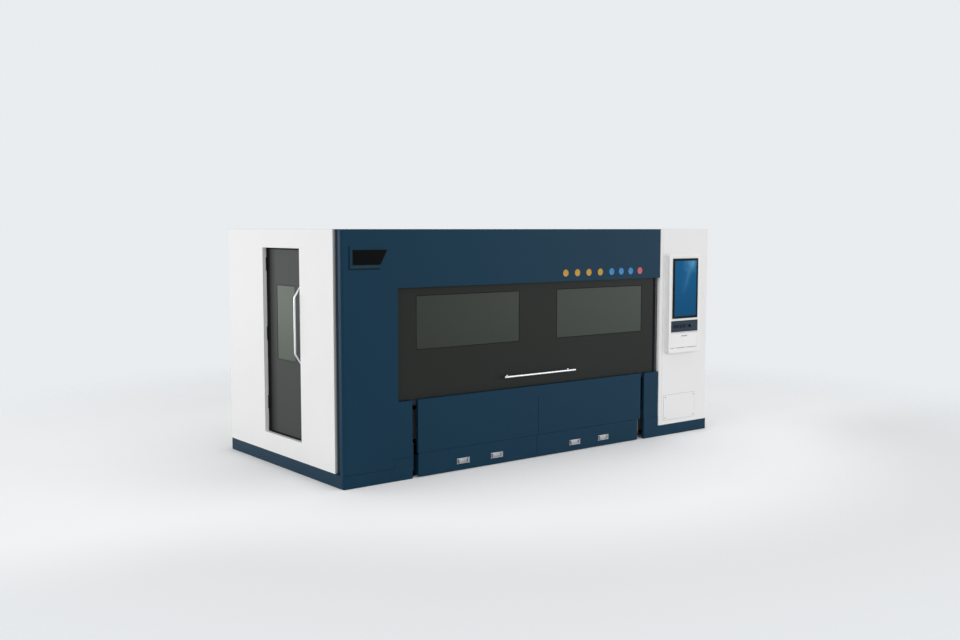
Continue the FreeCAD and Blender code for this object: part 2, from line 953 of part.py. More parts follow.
def build_tube_frame():
    """Square posts and rails that carry the panels; the pieces meet face to face."""
    third = "(body_length - 2 * panel_seam) / 3"
    west = ("frame_left", "frame_left + frame_tube")
    east = ("frame_right - frame_tube", "frame_right")
    partition = ("column_frame", "column_frame + frame_tube")
    front_row = ("front_post", "front_post + frame_tube")
    rear_row = ("rear_post", "frame_back")
    posts = {
        "corner_front_left": (west, front_row),
        "corner_rear_left": (west, rear_row),
        "jamb_front": (west, (
            "side_door_front - skin - frame_tube", "side_door_front - skin")),
        "jamb_rear": (west, ("side_door_back + skin", "side_door_back + skin + frame_tube")),
        "door_left": (
            ("guide_left - guide_depth - frame_tube", "guide_left - guide_depth"),
            ("door_front + door_post_setback", "door_front + door_post_setback + frame_tube")),
        "door_right": (partition, front_row),
        "partition_rear": (partition, rear_row),
        "corner_front_right": (east, front_row),
        "corner_rear_right": (east, rear_row),
        "rear_one": (("left + %s - frame_tube / 2" % third, "left + %s + frame_tube / 2" % third),
                     rear_row),
    }
    members = []
    for name, (x, y) in posts.items():
        tall = ("foot_plate_height", "post_top")
        members.append(tube("post_" + name, x, y, tall, "z"))
        members.append(block("foot_" + name, x, y, ("0", "foot_plate_height")))
    high = ("post_top", "frame_top")
    low = ("beam_top - 2 * frame_tube", "beam_top - frame_tube")
    depth = ("front_post", "frame_back")
    header = ("door_back + door_header_gap", "door_back + door_header_gap + frame_tube")
    between = ("side_door_front - skin", "side_door_back + skin")
    members += [
        tube("rail_left", west, depth, high, "y"),
        tube("rail_partition", partition, depth, high, "y"),
        tube("rail_right", east, depth, high, "y"),
        tube("rail_header", (west[1], "column_left"), header, high, "x"),
        tube("rail_rear", (west[1], "column_left"), rear_row, high, "x"),
        tube("rail_low_front", west,
             (front_row[1], "side_door_front - skin - frame_tube"), low, "y"),
        tube("rail_low_rear", west,
             ("side_door_back + skin + frame_tube", rear_row[0]), low, "y"),
        tube("rail_column_front", (partition[1], east[0]), front_row, high, "x"),
        tube("rail_column_rear", (partition[1], east[0]), rear_row, high, "x"),
        tube("side_lintel", west, between,
             ("side_door_top + skin", "side_door_top + skin + frame_tube"), "y"),
        tube("side_threshold", west, between,
             ("side_door_bottom - skin - frame_tube", "side_door_bottom - skin"), "y"),
        tube("sill_rail", ("guide_left - guide_depth", "column_left"),
             ("lower_face + panel_fold", "lower_face + panel_fold + cross_tube"),
             ("sill_height - skin - cross_tube", "sill_height - skin"), "x"),
    ]
    node("tube_frame", group("frame_members", members))


# ---------------------------------------------------------------- front door

def door_windows(left, bottom):
    """The two window openings of the lifting door, from a given corner."""
    spans = []
    for sign in ("-", "+"):
        middle = "door_middle %s (window_spacing + window_width) / 2" % sign
        west = "(%s - window_width / 2) - (%s)" % (middle, left)
        east = "(%s + window_width / 2) - (%s)" % (middle, left)
        low = "window_bottom - (%s)" % bottom
        high = "window_bottom + window_height - (%s)" % bottom
        spans.append((west, low, east, high))
    return spans


def glass_and_frame(name, x, y, z, axis):
    """A pane and the ring that holds it, behind one another along an axis."""
    spans = {"x": x, "y": y, "z": z}
    start = spans[axis][0]
    pane, outer, inner = {}, {}, {}
    for key, (low, high) in spans.items():
        pane[key] = ("(%s) + glass_gap" % low, "(%s) - glass_gap" % high)
        outer[key] = pane[key]
        inner[key] = ("(%s) + window_ring_width" % low, "(%s) - window_ring_width" % high)
    face = "(%s) + glass_inset" % start
    pane[axis] = (face, face + " + glass_thickness")
    outer[axis] = (pane[axis][1], pane[axis][1] + " + window_ring_thickness")
    inner[axis] = outer[axis]
    glass = block(name + "_glass", pane["x"], pane["y"], pane["z"])
    ring_outside = block(name + "_ring_outside", outer["x"], outer["y"], outer["z"])
    ring_inside = block(name + "_ring_inside", inner["x"], inner["y"], inner["z"])
    return glass, cut(name + "_ring", ring_outside, [ring_inside])


def build_front_door():
    """Lifting door: folded leaf, two windows, bar handle, shoes and lift rods."""
    windows = [rectangle(*span) for span in door_windows("leaf_left", "leaf_bottom")]
    outline = rectangle("0", "0", "leaf_right - leaf_left", "leaf_top - leaf_bottom")
    leaf = tray(
        "leaf", ("leaf_left", "door_front", "leaf_bottom"), "front", outline,
        "door_thickness", windows,
    )
    panes, rings = [], []
    for number, (x0, z0, x1, z1) in enumerate(door_windows("0", "0")):
        pane, ring_made = glass_and_frame(
            "door_window_%d" % number, (x0, x1), ("door_front", "door_back"), (z0, z1), "y"
        )
        panes.append(pane)
        rings.append(ring_made)
    node("front_door_leaf", group("leaf_and_rings", [leaf] + rings))
    node("front_door_windows", group("door_panes", panes))

    bar_y = "door_front - door_handle_reach"
    west = "door_middle - door_handle_length / 2"
    pieces = [rod(
        "handle_bar", (west, bar_y, "door_handle_height"), "door_handle_radius",
        "door_handle_length", "x",
    )]
    for number, x in enumerate((
        west + " + handle_post_inset", west + " + door_handle_length - handle_post_inset"
    )):
        start = (x, bar_y, "door_handle_height")
        pieces.append(prism(
            "handle_post_%d" % number, start, "handle_post_radius", "door_handle_reach", "y"))
    node("front_door_handle", fuse("handle", pieces))

    middle = "(door_front + door_back) / 2"
    across = (
        "%s - guide_width / 2 + skin + guide_gap" % middle,
        "%s + guide_width / 2 - skin - guide_gap" % middle,
    )
    runners = []
    first_shoe = "sill_height + shoe_first"
    for number, low in enumerate((first_shoe, first_shoe + " + shoe_pitch")):
        high = "%s + shoe_height" % low
        deep = "(guide_depth - skin - guide_gap)"
        runners.append(block(
            "shoe_left_%d" % number, ("guide_left - " + deep, "leaf_left"), across, (low, high)))
        runners.append(block(
            "shoe_right_%d" % number, ("leaf_right", "column_left - skin - guide_gap"),
            across, (low, high)))
    top = "barrel_base + door_lift + barrel_margin + rod_show"
    for name, west, east in (
        ("left", "cylinder_left - lug_overhang", "cylinder_left + lug_reach"),
        ("right", "cylinder_right - lug_reach", "cylinder_right + lug_overhang"),
    ):
        start = ("cylinder_" + name, "cylinder_y", "barrel_base + 2 * foot_plate_height")
        bar = prism("lift_rod_" + name, start, "rod_radius", "%s - (%s)" % (top, start[2]), "z")
        piston = prism(
            "piston_" + name, start, "barrel_radius - barrel_wall - piston_gap",
            "piston_length", "z")
        lug = block(
            "rod_lug_" + name, (west, east), ("door_back", "door_back + lug_depth"),
            (top, top + " + lug_thickness"),
        )
        runners.append(fuse("lift_rod_made_" + name, [bar, piston, lug]))
    node("front_door_runners", group("door_runners", runners))


def build_door_gear():
    """Channels that guide the door and the two cylinders that lift it."""
    middle = "(door_front + door_back) / 2"
    across = ("%s - guide_width / 2" % middle, "%s + guide_width / 2" % middle)
    inside = ("%s + skin" % across[0], "%s - skin" % across[1])
    tall = ("sill_height - skin", "under_roof")
    guides = []
    for name, x, hollow in (
        ("left", ("guide_left - guide_depth", "guide_left"),
         ("guide_left - guide_depth + skin", "guide_left")),
        ("right", ("column_left - guide_depth", "column_left"),
         ("column_left - guide_depth", "column_left - skin")),
    ):
        whole = block("guide_whole_" + name, x, across, tall)
        mouth = block("guide_mouth_" + name, hollow, inside, tall)
        guides.append(cut("guide_" + name, whole, [mouth]))
    node("door_guides", group("guide_pair", guides))
    barrels = []
    for name, plate in (
        ("left", ("guide_left - guide_depth", "cylinder_left + seat_reach_left")),
        ("right", ("cylinder_right - seat_reach_right", "column_left")),
    ):
        start = ("cylinder_" + name, "cylinder_y", "barrel_base")
        length = "door_lift + barrel_margin"
        outside = prism("barrel_outside_" + name, start, "barrel_radius", length, "z", 16)
        bore_start = (start[0], start[1], "barrel_base + foot_plate_height")
        bore = rod(
            "barrel_bore_" + name, bore_start, "barrel_radius - barrel_wall", length, "z")
        seat = block(
            "barrel_seat_" + name, plate,
            ("door_back + cylinder_gap", "door_back + cylinder_gap + 2 * barrel_radius"),
            ("barrel_base - foot_plate_height", "barrel_base"),
        )
        shell = cut("barrel_shell_" + name, outside, [bore])
        barrels.append(fuse("barrel_" + name, [shell, seat]))
    node("door_lift_cylinders", group("cylinder_pair", barrels))


# ----------------------------------------------------------------- side door

def build_side_door():
    """Hinged service door with its window and bow handle."""
    base = ("side_leaf_face", "side_door_front + side_leaf_gap", "side_door_bottom + side_leaf_gap")
    window_y = "side_panel_start + side_window_start"
    window = (
        "%s - (%s)" % (window_y, base[1]), "side_window_bottom - (%s)" % base[2],
        "%s + side_window_width - (%s)" % (window_y, base[1]),
        "side_window_bottom + side_window_height - (%s)" % base[2],
    )
    outline = rectangle(
        "0", "0", "side_door_width - 2 * side_leaf_gap", "side_door_height - 2 * side_leaf_gap"
    )
    leaf = tray("side_leaf", base, "left", outline, "door_thickness", [rectangle(*window)])
    pane, ring_made = glass_and_frame(
        "side_window", ("side_leaf_face", "side_leaf_face + door_thickness"),
        (window_y, window_y + " + side_window_width"),
        ("side_window_bottom", "side_window_bottom + side_window_height"), "x",
    )
    node("side_door_window", pane)

    fixed, moving = [], []
    for number, share in enumerate((1, 4, 7)):
        low = "side_door_bottom + side_door_height * %d / 8" % share
        half = "(hinge_length / 2)"
        split = "%s + %s" % (low, half)
        top = "%s + hinge_length" % low
        knuckle = prism(
            "knuckle_low_%d" % number, ("hinge_x", "hinge_y", low), "hinge_radius", half, "z")
        strap = block(
            "strap_low_%d" % number, ("hinge_x - hinge_strap / 2", "hinge_x + hinge_strap / 2"),
            ("hinge_y", "side_door_back"), (low, split))
        pin = rod(
            "hinge_pin_%d" % number, ("hinge_x", "hinge_y", split), "hinge_pin_radius",
            half, "z")
        fixed += [knuckle, strap, pin]
        start = ("hinge_x", "hinge_y", split + " + hinge_seat_gap")
        length = "%s - hinge_seat_gap" % half
        outside = prism("knuckle_high_%d" % number, start, "hinge_radius", length, "z")
        bore = rod(
            "knuckle_bore_%d" % number, start, "hinge_pin_radius + hinge_pin_gap", length, "z")
        barrel = cut("knuckle_high_cut_%d" % number, outside, [bore])
        tab = block(
            "strap_high_%d" % number, ("hinge_x + hinge_radius - hinge_lap", "side_leaf_face"),
            ("hinge_y - hinge_strap_reach", "side_leaf_back"), (start[2], top))
        moving.append(fuse("knuckle_moving_%d" % number, [barrel, tab]))
    node("side_door_hinges", fuse("fixed_hinges", fixed))
    node("side_door_leaf", group("side_leaf_set", [leaf, ring_made] + moving))
    build_bow_handle()


def tube_along(points, bend, radius):
    """A round bar: straight runs joined by bends of one radius."""
    pieces = []
    start = points[0]
    for before, corner, after in zip(points, points[1:], points[2:]):
        way_in = (corner - before).normalize()
        way_out = (after - corner).normalize()
        turn = way_in.getAngle(way_out)
        back_off = bend * math.tan(turn / 2)
        bend_start = corner - way_in * back_off
        pieces.append(Part.makeCylinder(
            radius, start.distanceToPoint(bend_start), start, way_in))
        axis = way_in.cross(way_out).normalize()
        middle = bend_start + axis.cross(way_in) * bend
        disc = Part.Face(Part.Wire(Part.Circle(bend_start, way_in, radius).toShape()))
        pieces.append(disc.revolve(middle, axis, math.degrees(turn)))
        start = corner + way_out * back_off
    way = (points[-1] - start).normalize()
    pieces.append(Part.makeCylinder(
        radius, start.distanceToPoint(points[-1]), start, way))
    return pieces[0].fuse(pieces[1:]).removeSplitter()


def build_bow_handle():
    made = doc.addObject("Part::Feature", "bow_handle")
    reach, slant = size("bow_reach"), size("bow_slant")
    tall = size("bow_height")
    points = [
        FreeCAD.Vector(0, 0, 0),
        FreeCAD.Vector(-reach, 0, slant),
        FreeCAD.Vector(-reach, 0, tall - slant),
        FreeCAD.Vector(0, 0, tall),
    ]
    bar = tube_along(points, size("bow_bend"), size("bow_radius"))
    half = 3 * size("bow_radius")
    inside = Part.makeBox(2 * half, 2 * half, tall + 2 * half, FreeCAD.Vector(0, -half, -half))
    made.Shape = bar.cut(inside)
    put(made, "side_leaf_face", "side_door_front + side_leaf_gap + bow_inset", "bow_bottom")
    node("side_door_handle", made)


# ------------------------------------------------------------------- drawers

def build_drawers():
    """Two open slag drawers with chest handles, and the bars they run on."""
    for number, side in enumerate(("left", "right")):
        west = "bay_left + %d * drawer_pitch + drawer_gap" % number
        east = "bay_left + %d * drawer_pitch - drawer_gap" % (number + 1)
        rear = "lower_face + drawer_length"
        floor = "drawer_bottom"
        rim = "drawer_bottom + drawer_height"
        whole = block("drawer_whole_" + side, (west, east), ("lower_face", rear), (floor, rim))
        hollow = block(
            "drawer_hollow_" + side, (west + " + skin", east + " - skin"),
            ("lower_face + skin", rear + " - skin"), (floor + " + skin", rim + " + skin"),
        )
        face = block(
            "drawer_face_" + side, (west, east), ("lower_face", "lower_face + skin"),
            ("drawer_front_bottom", "drawer_front_top"),
        )
        box = cut("drawer_box_" + side, whole, [hollow])
        node("slag_drawer_" + side, fuse("drawer_" + side, [box, face]))
        plates = []
        for place in range(2):
            middle = handle_middle(number, place)
            plates.append(chest_plate("%s_%d" % (side, place), middle))
            node("bail_%s_%d" % (side, place + 1), bail("%s_%d" % (side, place), middle))
        node("handle_plates_" + side, group("plates_" + side, plates))
    runners = []
    for number, (west, east) in enumerate((
        ("pillar_foot_right + panel_seam + leg_width", "bay_left + runner_width / 2"),
        ("drawer_split - leg_side_width / 2", "drawer_split + leg_side_width / 2"),
        ("drawer_right - runner_width", "bay_right - leg_width"),
    )):
        runners.append(block(
            "runner_%d" % number, (west, east),
            ("lower_face + panel_fold + skin", "lower_face + drawer_length"), ("0", "runner_height"),
        ))
    node("drawer_runners", group("runner_set", runners))


def handle_middle(drawer, place):
    """Middle of a chest handle along X: two on each drawer, drawn to the centre."""
    middle = "(bay_left + (%d + 0.5) * drawer_pitch" % drawer
    return middle + (" - handle_plate_offset)" if place == 0 else " + handle_plate_offset)")


def chest_plate(name, middle):
    face = block(
        "plate_" + name, (middle + " - handle_plate_width / 2", middle + " + handle_plate_width / 2"),
        ("lower_face - handle_plate_thickness", "lower_face"),
        ("handle_plate_middle - handle_plate_height / 2",
         "handle_plate_middle + handle_plate_height / 2"),
    )
    ears, holes = [], []
    for number, sign in enumerate((-1, 1)):
        start = (
            "%s + %d * bail_width / 2 - ear_thickness / 2" % (middle, sign),
            "bail_y", "bail_z")
        ears.append(prism(
            "ear_%s_%d" % (name, number), start, "ear_radius", "ear_thickness", "x", 8))
        holes.append(rod(
            "ear_hole_%s_%d" % (name, number), start, "bail_radius + hinge_pin_gap",
            "ear_thickness", "x"))
    return cut("plate_made_" + name, fuse("plate_ears_" + name, [face] + ears), holes)


def bail(name, middle):
    """Bent bar whose turned-out ends sit in the ears of its plate."""
    made = doc.addObject("Part::Feature", "bail_" + name)
    half, drop = size("bail_width") / 2, size("bail_drop")
    out = size("ear_thickness") / 2 + size("bail_pin_reach")
    inset = size("ear_thickness") / 2 + size("bail_ear_gap") + size("bail_radius")
    points = [
        FreeCAD.Vector(-half - out, 0, 0),
        FreeCAD.Vector(-half + inset, 0, 0),
        FreeCAD.Vector(-half + inset, 0, -drop),
        FreeCAD.Vector(half - inset, 0, -drop),
        FreeCAD.Vector(half - inset, 0, 0),
        FreeCAD.Vector(half + out, 0, 0),
    ]
    sides = 12
    profile = Part.makePolygon([
        points[0] + FreeCAD.Vector(
            0, size("bail_radius") * math.cos(2 * math.pi * step / sides),
            size("bail_radius") * math.sin(2 * math.pi * step / sides))
        for step in list(range(sides)) + [0]
    ])
    mitred = 1
    made.Shape = Part.makePolygon(points).makePipeShell([profile], True, True, mitred)
    put(made, middle, "bail_y", "bail_z")
    return made


# ------------------------------------------------------------------- console

def build_console():
    """Operator console: housing, screen, button panel, keys, switch and flap."""
    local = "(%s) - console_x"
    up = "(%s) - console_bottom"
    west = "console_middle - screen_width / 2"
    screen = rectangle(
        local % west + " - glass_gap", up % "screen_bottom" + " - glass_gap",
        local % west + " + screen_width + glass_gap",
        up % "screen_bottom" + " + screen_height + glass_gap",
    )
    panel = rectangle(
        local % "button_panel_left" + " - glass_gap", up % "button_panel_bottom" + " - glass_gap",
        local % "button_panel_left" + " + button_panel_width + glass_gap",
        up % "button_panel_bottom" + " + button_panel_height + glass_gap",
    )
    flap_west = "console_middle - flap_width / 2"
    flap = rectangle(
        local % flap_west + " - flap_gap", up % "flap_bottom",
        local % flap_west + " + flap_width + flap_gap",
        up % "flap_bottom" + " + flap_height + flap_gap + flap_top_extra",
    )
    outline = rectangle("0", "0", "console_width", "console_height")
    body = tray(
        "console", ("console_x", "console_front", "console_bottom"), "front", outline,
        "console_depth", [screen, panel, flap],
    )
    skin, width, height = size("skin"), size("console_width"), size("console_height")
    rounds = []
    for inset, radius in ((0, "console_round"), (skin, "console_round - skin")):
        for across in (inset, width - inset):
            rounds += [(across, up_to, radius) for up_to in (inset, height - inset)]
    round_corner(body, "console", rounds, "xz")
    pins = rod(
        "flap_pin_holes", (flap_west + " - flap_gap - skin - cut_past", "flap_axis_y", "flap_axis_z"),
        "flap_pin_radius + hinge_pin_gap",
        "flap_width + 2 * flap_gap + 2 * skin + 2 * cut_past", "x",
    )
    housing = cut("console_housing_cut", body, [pins])
    inset = "console_lip + glass_gap"
    depth = rectangle(
        "0", "0", "console_width - 2 * (%s)" % inset, "console_height - 2 * (%s)" % inset
    )
    back_box = tray(
        "console_back", ("console_x + " + inset, "front", "console_bottom + " + inset), "back",
        depth, "console_inner_depth",
    )
    node("console_housing", group("console_set", [housing, back_box]))

    east = west + " + screen_width"
    top = "screen_bottom + screen_height"
    whole = block(
        "bezel_whole", (west, east), ("bezel_face", "console_front + bezel_depth"),
        ("screen_bottom", top),
    )
    recess = block(
        "bezel_recess", (west + " + screen_bezel", east + " - screen_bezel"),
        ("bezel_face", "bezel_face + screen_recess"),
        ("screen_bottom + screen_bezel", top + " - screen_bezel"),
    )
    node("screen_bezel", cut("bezel", whole, [recess]))
    node("screen_glass", block(
        "screen_pane", (west + " + screen_bezel", east + " - screen_bezel"),
        ("bezel_face + screen_recess - screen_thickness", "bezel_face + screen_recess"),
        ("screen_bottom + screen_bezel", top + " - screen_bezel"),
    ))
    build_buttons()
    build_flap(flap_west)


def build_buttons():
    """Panel plate with a row of square keys and a rotary switch."""
    west = "button_panel_left"
    middle = "button_panel_bottom + button_panel_height / 2"
    plate = block(
        "button_plate", (west, west + " + button_panel_width"),
        ("console_front", "console_front + 2 * button_panel_depth"),
        ("button_panel_bottom", "button_panel_bottom + button_panel_height"),
    )
    holes = []
    behind = "console_front + 2 * button_panel_depth"
    for number in range(int(size("key_count"))):
        x = "%s + key_start + %d * key_pitch" % (west, number)
        y = ("console_front - key_stand - key_travel", behind + " + key_tail")
        z = ("%s - key_rise / 2" % middle, "%s + key_rise / 2" % middle)
        key = block("key_block_%d" % number, (x, x + " + key_size"), y, z)
        node("panel_key_%d" % (number + 1), key)
        holes.append(block(
            "key_hole_%d" % number, (x + " - key_hole_gap", x + " + key_size + key_hole_gap"),
            ("console_front - cut_past", behind + " + cut_past"),
            (z[0] + " - key_hole_gap", z[1] + " + key_hole_gap"),
        ))
    x = west + " + knob_start"
    holes.append(rod(
        "knob_hole", (x, "console_front - cut_past", middle), "knob_radius / 3 + hinge_pin_gap",
        "2 * button_panel_depth + 2 * cut_past", "y"))
    node("button_panel", cut("button_panel_cut", plate, holes))
    dial = prism(
        "knob_dial", (x, "console_front - knob_height / 2", middle), "knob_radius",
        "knob_height / 2 - knob_gap", "y", 24)
    grip = block(
        "knob_grip", (x + " - knob_grip_width / 2", x + " + knob_grip_width / 2"),
        ("console_front - knob_height", "console_front - knob_height / 2"),
        (middle + " - knob_grip_length / 2", middle + " + knob_grip_length / 2"),
    )
    stem = prism(
        "knob_stem", (x, "console_front - knob_height / 2", middle), "knob_radius / 3",
        "knob_height / 2 + 2 * button_panel_depth", "y")
    node("mode_switch", fuse("knob", [dial, grip, stem]))


def build_flap(west):
    """Drop-down flap with its pivot, finger lip and keyboard."""
    east = west + " + flap_width"
    top = "flap_bottom + flap_height"
    face = block(
        "flap_face", (west, east), ("console_front", "console_front + skin"),
        ("flap_axis_z - hinge_offset + skin", top),
    )
    barrel = prism(
        "flap_barrel", (west, "flap_axis_y", "flap_axis_z"), "flap_barrel_radius",
        "flap_width", "x")
    pins = rod(
        "flap_pins", (west + " - flap_gap - skin + glass_gap", "flap_axis_y", "flap_axis_z"),
        "flap_pin_radius", "flap_width + 2 * (flap_gap + skin - glass_gap)", "x")
    lip = block(
        "flap_lip", ("console_middle - lip_width / 2", "console_middle + lip_width / 2"),
        ("console_front", "console_front + skin / 2"),
        (top + " - lip_drop - lip_height", top + " - lip_drop"),
    )
    node("keyboard_flap", cut("flap_cut", fuse("flap_made", [face, barrel, pins]), [lip]))
    node("keyboard", block(
        "keyboard_block",
        ("console_middle - keyboard_width / 2", "console_middle + keyboard_width / 2"),
        ("console_front + skin", "console_front + skin + keyboard_thickness"),
        ("flap_bottom + keyboard_rise", "flap_bottom + keyboard_rise + keyboard_height"),
    ))


# ------------------------------------------------------- bed, table and slats

def build_bed():
    """Welded bed: two side beams, cross beams and legs, with levelling feet."""
    members = []
    low_beam = ("beam_bottom", "beam_top")
    front_beam = ("-beam_outer", "-beam_inner")
    rear_beam = ("beam_inner", "beam_outer")
    run = ("bed_start", "bed_end")
    members.append(tube("beam_front", run, front_beam, low_beam, "x", "beam_wall"))
    members.append(tube("beam_rear", run, rear_beam, low_beam, "x", "beam_wall"))
    cross = ("beam_bottom", "beam_bottom + cross_beam_height")
    inner = ("-beam_inner", "beam_inner")
    for number, x in enumerate((
        ("bed_start", "bed_start + cross_beam_width"),
        ("opening_left + cross_beam_shift - cross_beam_narrow", "opening_left + cross_beam_shift"),
        ("drawer_split - cross_beam_narrow / 2", "drawer_split + cross_beam_narrow / 2"),
        ("bed_end - cross_beam_width", "bed_end"),
    )):
        members.append(tube("cross_beam_%d" % number, x, inner, cross, "y"))
    upright = ("leg_bottom", "beam_bottom")
    deep_front = ("lower_face + panel_fold + skin", "-beam_inner")
    first = ("bed_start + leg_inset", "bed_start + leg_inset + leg_side_width")
    last = ("bed_end - leg_inset - leg_side_width", "bed_end - leg_inset")
    thin = "pillar_foot_right + panel_seam"
    legs = {
        "front_a": (first, front_beam),
        "front_b": ((thin, thin + " + leg_width"), deep_front),
        "front_c": (("bay_right - leg_width", "bay_right"), deep_front),
        "front_d": (last, front_beam),
        "rear_a": (first, rear_beam),
        "rear_b": (("bay_left - leg_side_width", "bay_left"), rear_beam),
        "rear_c": (("drawer_split - leg_side_width / 2", "drawer_split + leg_side_width / 2"),
                   rear_beam),
        "rear_d": (("drawer_right", "drawer_right + leg_side_width"), rear_beam),
        "rear_e": (last, rear_beam),
    }
    feet = []
    for name, (x, y) in legs.items():
        post = tube("leg_post_" + name, x, y, upright, "z")
        sole = block("leg_sole_" + name, x, y, (upright[0], upright[0] + " + 2 * frame_wall"))
        members.append(fuse("leg_" + name, [post, sole]))
        middle = "((%s) + (%s)) / 2" % x
        stations = [y[0] + " + foot_inset", y[1] + " - foot_inset"] if y is deep_front else [
            "((%s) + (%s)) / 2" % y]
        for number, station in enumerate(stations):
            feet.append(levelling_foot("%s_%d" % (name, number), middle, station))
    node("machine_bed", group("bed_members", members))
    node("levelling_feet", group("foot_set", feet))


def levelling_foot(name, x, y):
    pad_made = prism(
        "foot_pad_" + name, (x, y, "0"), "foot_pad_radius", "foot_plate_height", "z")
    stud = prism(
        "foot_stud_" + name, (x, y, "foot_plate_height"), "foot_stud_radius",
        "leg_bottom - foot_plate_height", "z", 8)
    nut = prism(
        "foot_nut_" + name, (x, y, "leg_bottom - foot_plate_height"),
        "foot_nut_radius", "foot_plate_height", "z", 6)
    return fuse("foot_" + name, [pad_made, stud, nut])


def build_rails():
    """Long linear rails on the bed, each with a rack on its outer side."""
    members = []
    run = ("bed_start + rail_end_inset", "bed_end - rail_end_inset")
    for side, sign in (("front", "-"), ("rear", "")):
        centre = "%s(beam_centre)" % sign
        rail = ("%s - rail_width / 2" % centre, "%s + rail_width / 2" % centre)
        members.append(block("x_rail_" + side, run, rail, ("beam_top", "beam_top + rail_height")))
        faces = ["%s(rack_face - rack_width)" % sign, "%s(rack_face)" % sign]
        rack = tuple(reversed(faces)) if sign else tuple(faces)
        members.append(block("x_rack_" + side, run, rack, ("beam_top", "beam_top + rack_height")))
    node("bed_rails", group("bed_rail_set", members))


def build_table():
    """Slat table: cross tubes, two angle rails and a row of toothed slats."""
    members = []
    first, last = "table_left + table_tube_inset", "table_right - table_tube_inset - cross_tube"
    middle = "drawer_split - cross_tube / 2"
    halfway = "(%s + %s) / 2"
    for number, x in enumerate((
        first, halfway % (first, middle), middle, halfway % (middle, last), last,
    )):
        members.append(tube(
            "table_tube_%d" % number, (x, x + " + cross_tube"), ("-beam_inner", "beam_inner"),
            ("cross_bottom", "cross_top"), "y"))
    run = ("table_left", "table_right")
    for side, sign in (("front", -1), ("rear", 1)):
        spans = [
            (("table_half_width - table_angle_width", "table_half_width"), ("cross_top", "slat_bottom")),
            (("table_half_width", "table_half_width + skin"),
             ("cross_top", "slat_bottom + tooth_depth + table_angle_rise")),
        ]
        plates = []
        for number, (y, z) in enumerate(spans):
            if sign < 0:
                y = ("-(%s)" % y[1], "-(%s)" % y[0])
            plates.append(block("table_angle_%s_%d" % (side, number), run, y, z))
        members.append(fuse("table_angle_" + side, plates))
    node("table_frame", group("table_members", members))

    tall, deep = size("slat_height"), size("tooth_depth")
    half = size("table_half_width") - size("glass_gap")
    teeth = int(size("slat_teeth"))
    pitch = 2 * half / teeth
    points = [FreeCAD.Vector(0, -half, 0), FreeCAD.Vector(0, half, 0)]
    points.append(FreeCAD.Vector(0, half, tall - deep))
    for tooth in range(teeth):
        end = half - tooth * pitch
        points.append(FreeCAD.Vector(0, end - pitch / 2, tall))
        points.append(FreeCAD.Vector(0, end - pitch, tall - deep))
    points.append(points[0])
    slat = Part.Face(Part.makePolygon(points)).extrude(
        FreeCAD.Vector(size("slat_thickness"), 0, 0))
    length = size("table_right") - size("table_left") - size("slat_thickness")
    count = int(length / size("slat_pitch")) + 1
    row = [slat.translated(FreeCAD.Vector(n * size("slat_pitch"), 0, 0)) for n in range(count)]
    made = doc.addObject("Part::Feature", "slats")
    made.Shape = Part.makeCompound(row)
    put(made, "table_left", "0", "slat_bottom")
    node("support_slats", made)


def solid_between(upper, lower):
    """Solid with flat sides between two four-cornered rims."""
    faces = [Part.Face(Part.makePolygon(rim + rim[:1])) for rim in (upper, lower)]
    for index in range(4):
        following = (index + 1) % 4
        side = [upper[index], upper[following], lower[following], lower[index]]
        faces.append(Part.Face(Part.makePolygon(side + side[:1])))
    solid = Part.Solid(Part.makeShell(faces))
    if solid.Volume < 0:
        solid.reverse()
    return solid


def build_chutes():
    """Two sheet hoppers that lead cut pieces down into the drawers."""
    skin = size("skin")
    top, low = size("cross_bottom"), size("chute_low")
    deep, rear_low = size("chute_side"), size("chute_rear")
    split, gap, gap_low = size("drawer_split"), size("chute_split_gap"), size("chute_split_low")
    west = size("table_left") + size("chute_side_gap")
    east = size("table_right") - size("chute_east_gap")
    west_low = size("bay_left") + size("chute_west_inset")
    east_low = size("drawer_right") - size("chute_east_inset")
    spans = [
        ((west, split - gap), (west_low, split - gap_low)),
        ((split + gap, east), (split + gap_low, east_low)),
    ]
    hoppers = []
    for upper, lower in spans:
        funnels = []
        for inset in (0, skin):
            rims = []
            for (west, east), rear, z in ((upper, deep, top), (lower, rear_low, low)):
                rims.append([
                    FreeCAD.Vector(west + inset, -deep + inset, z),
                    FreeCAD.Vector(east - inset, -deep + inset, z),
                    FreeCAD.Vector(east - inset, rear - inset, z),
                    FreeCAD.Vector(west + inset, rear - inset, z),
                ])
            funnels.append(solid_between(*rims))
        hoppers.append(funnels[0].cut(funnels[1]))
    made = doc.addObject("Part::Feature", "hoppers")
    made.Shape = Part.makeCompound(hoppers)
    node("slag_chutes", made)


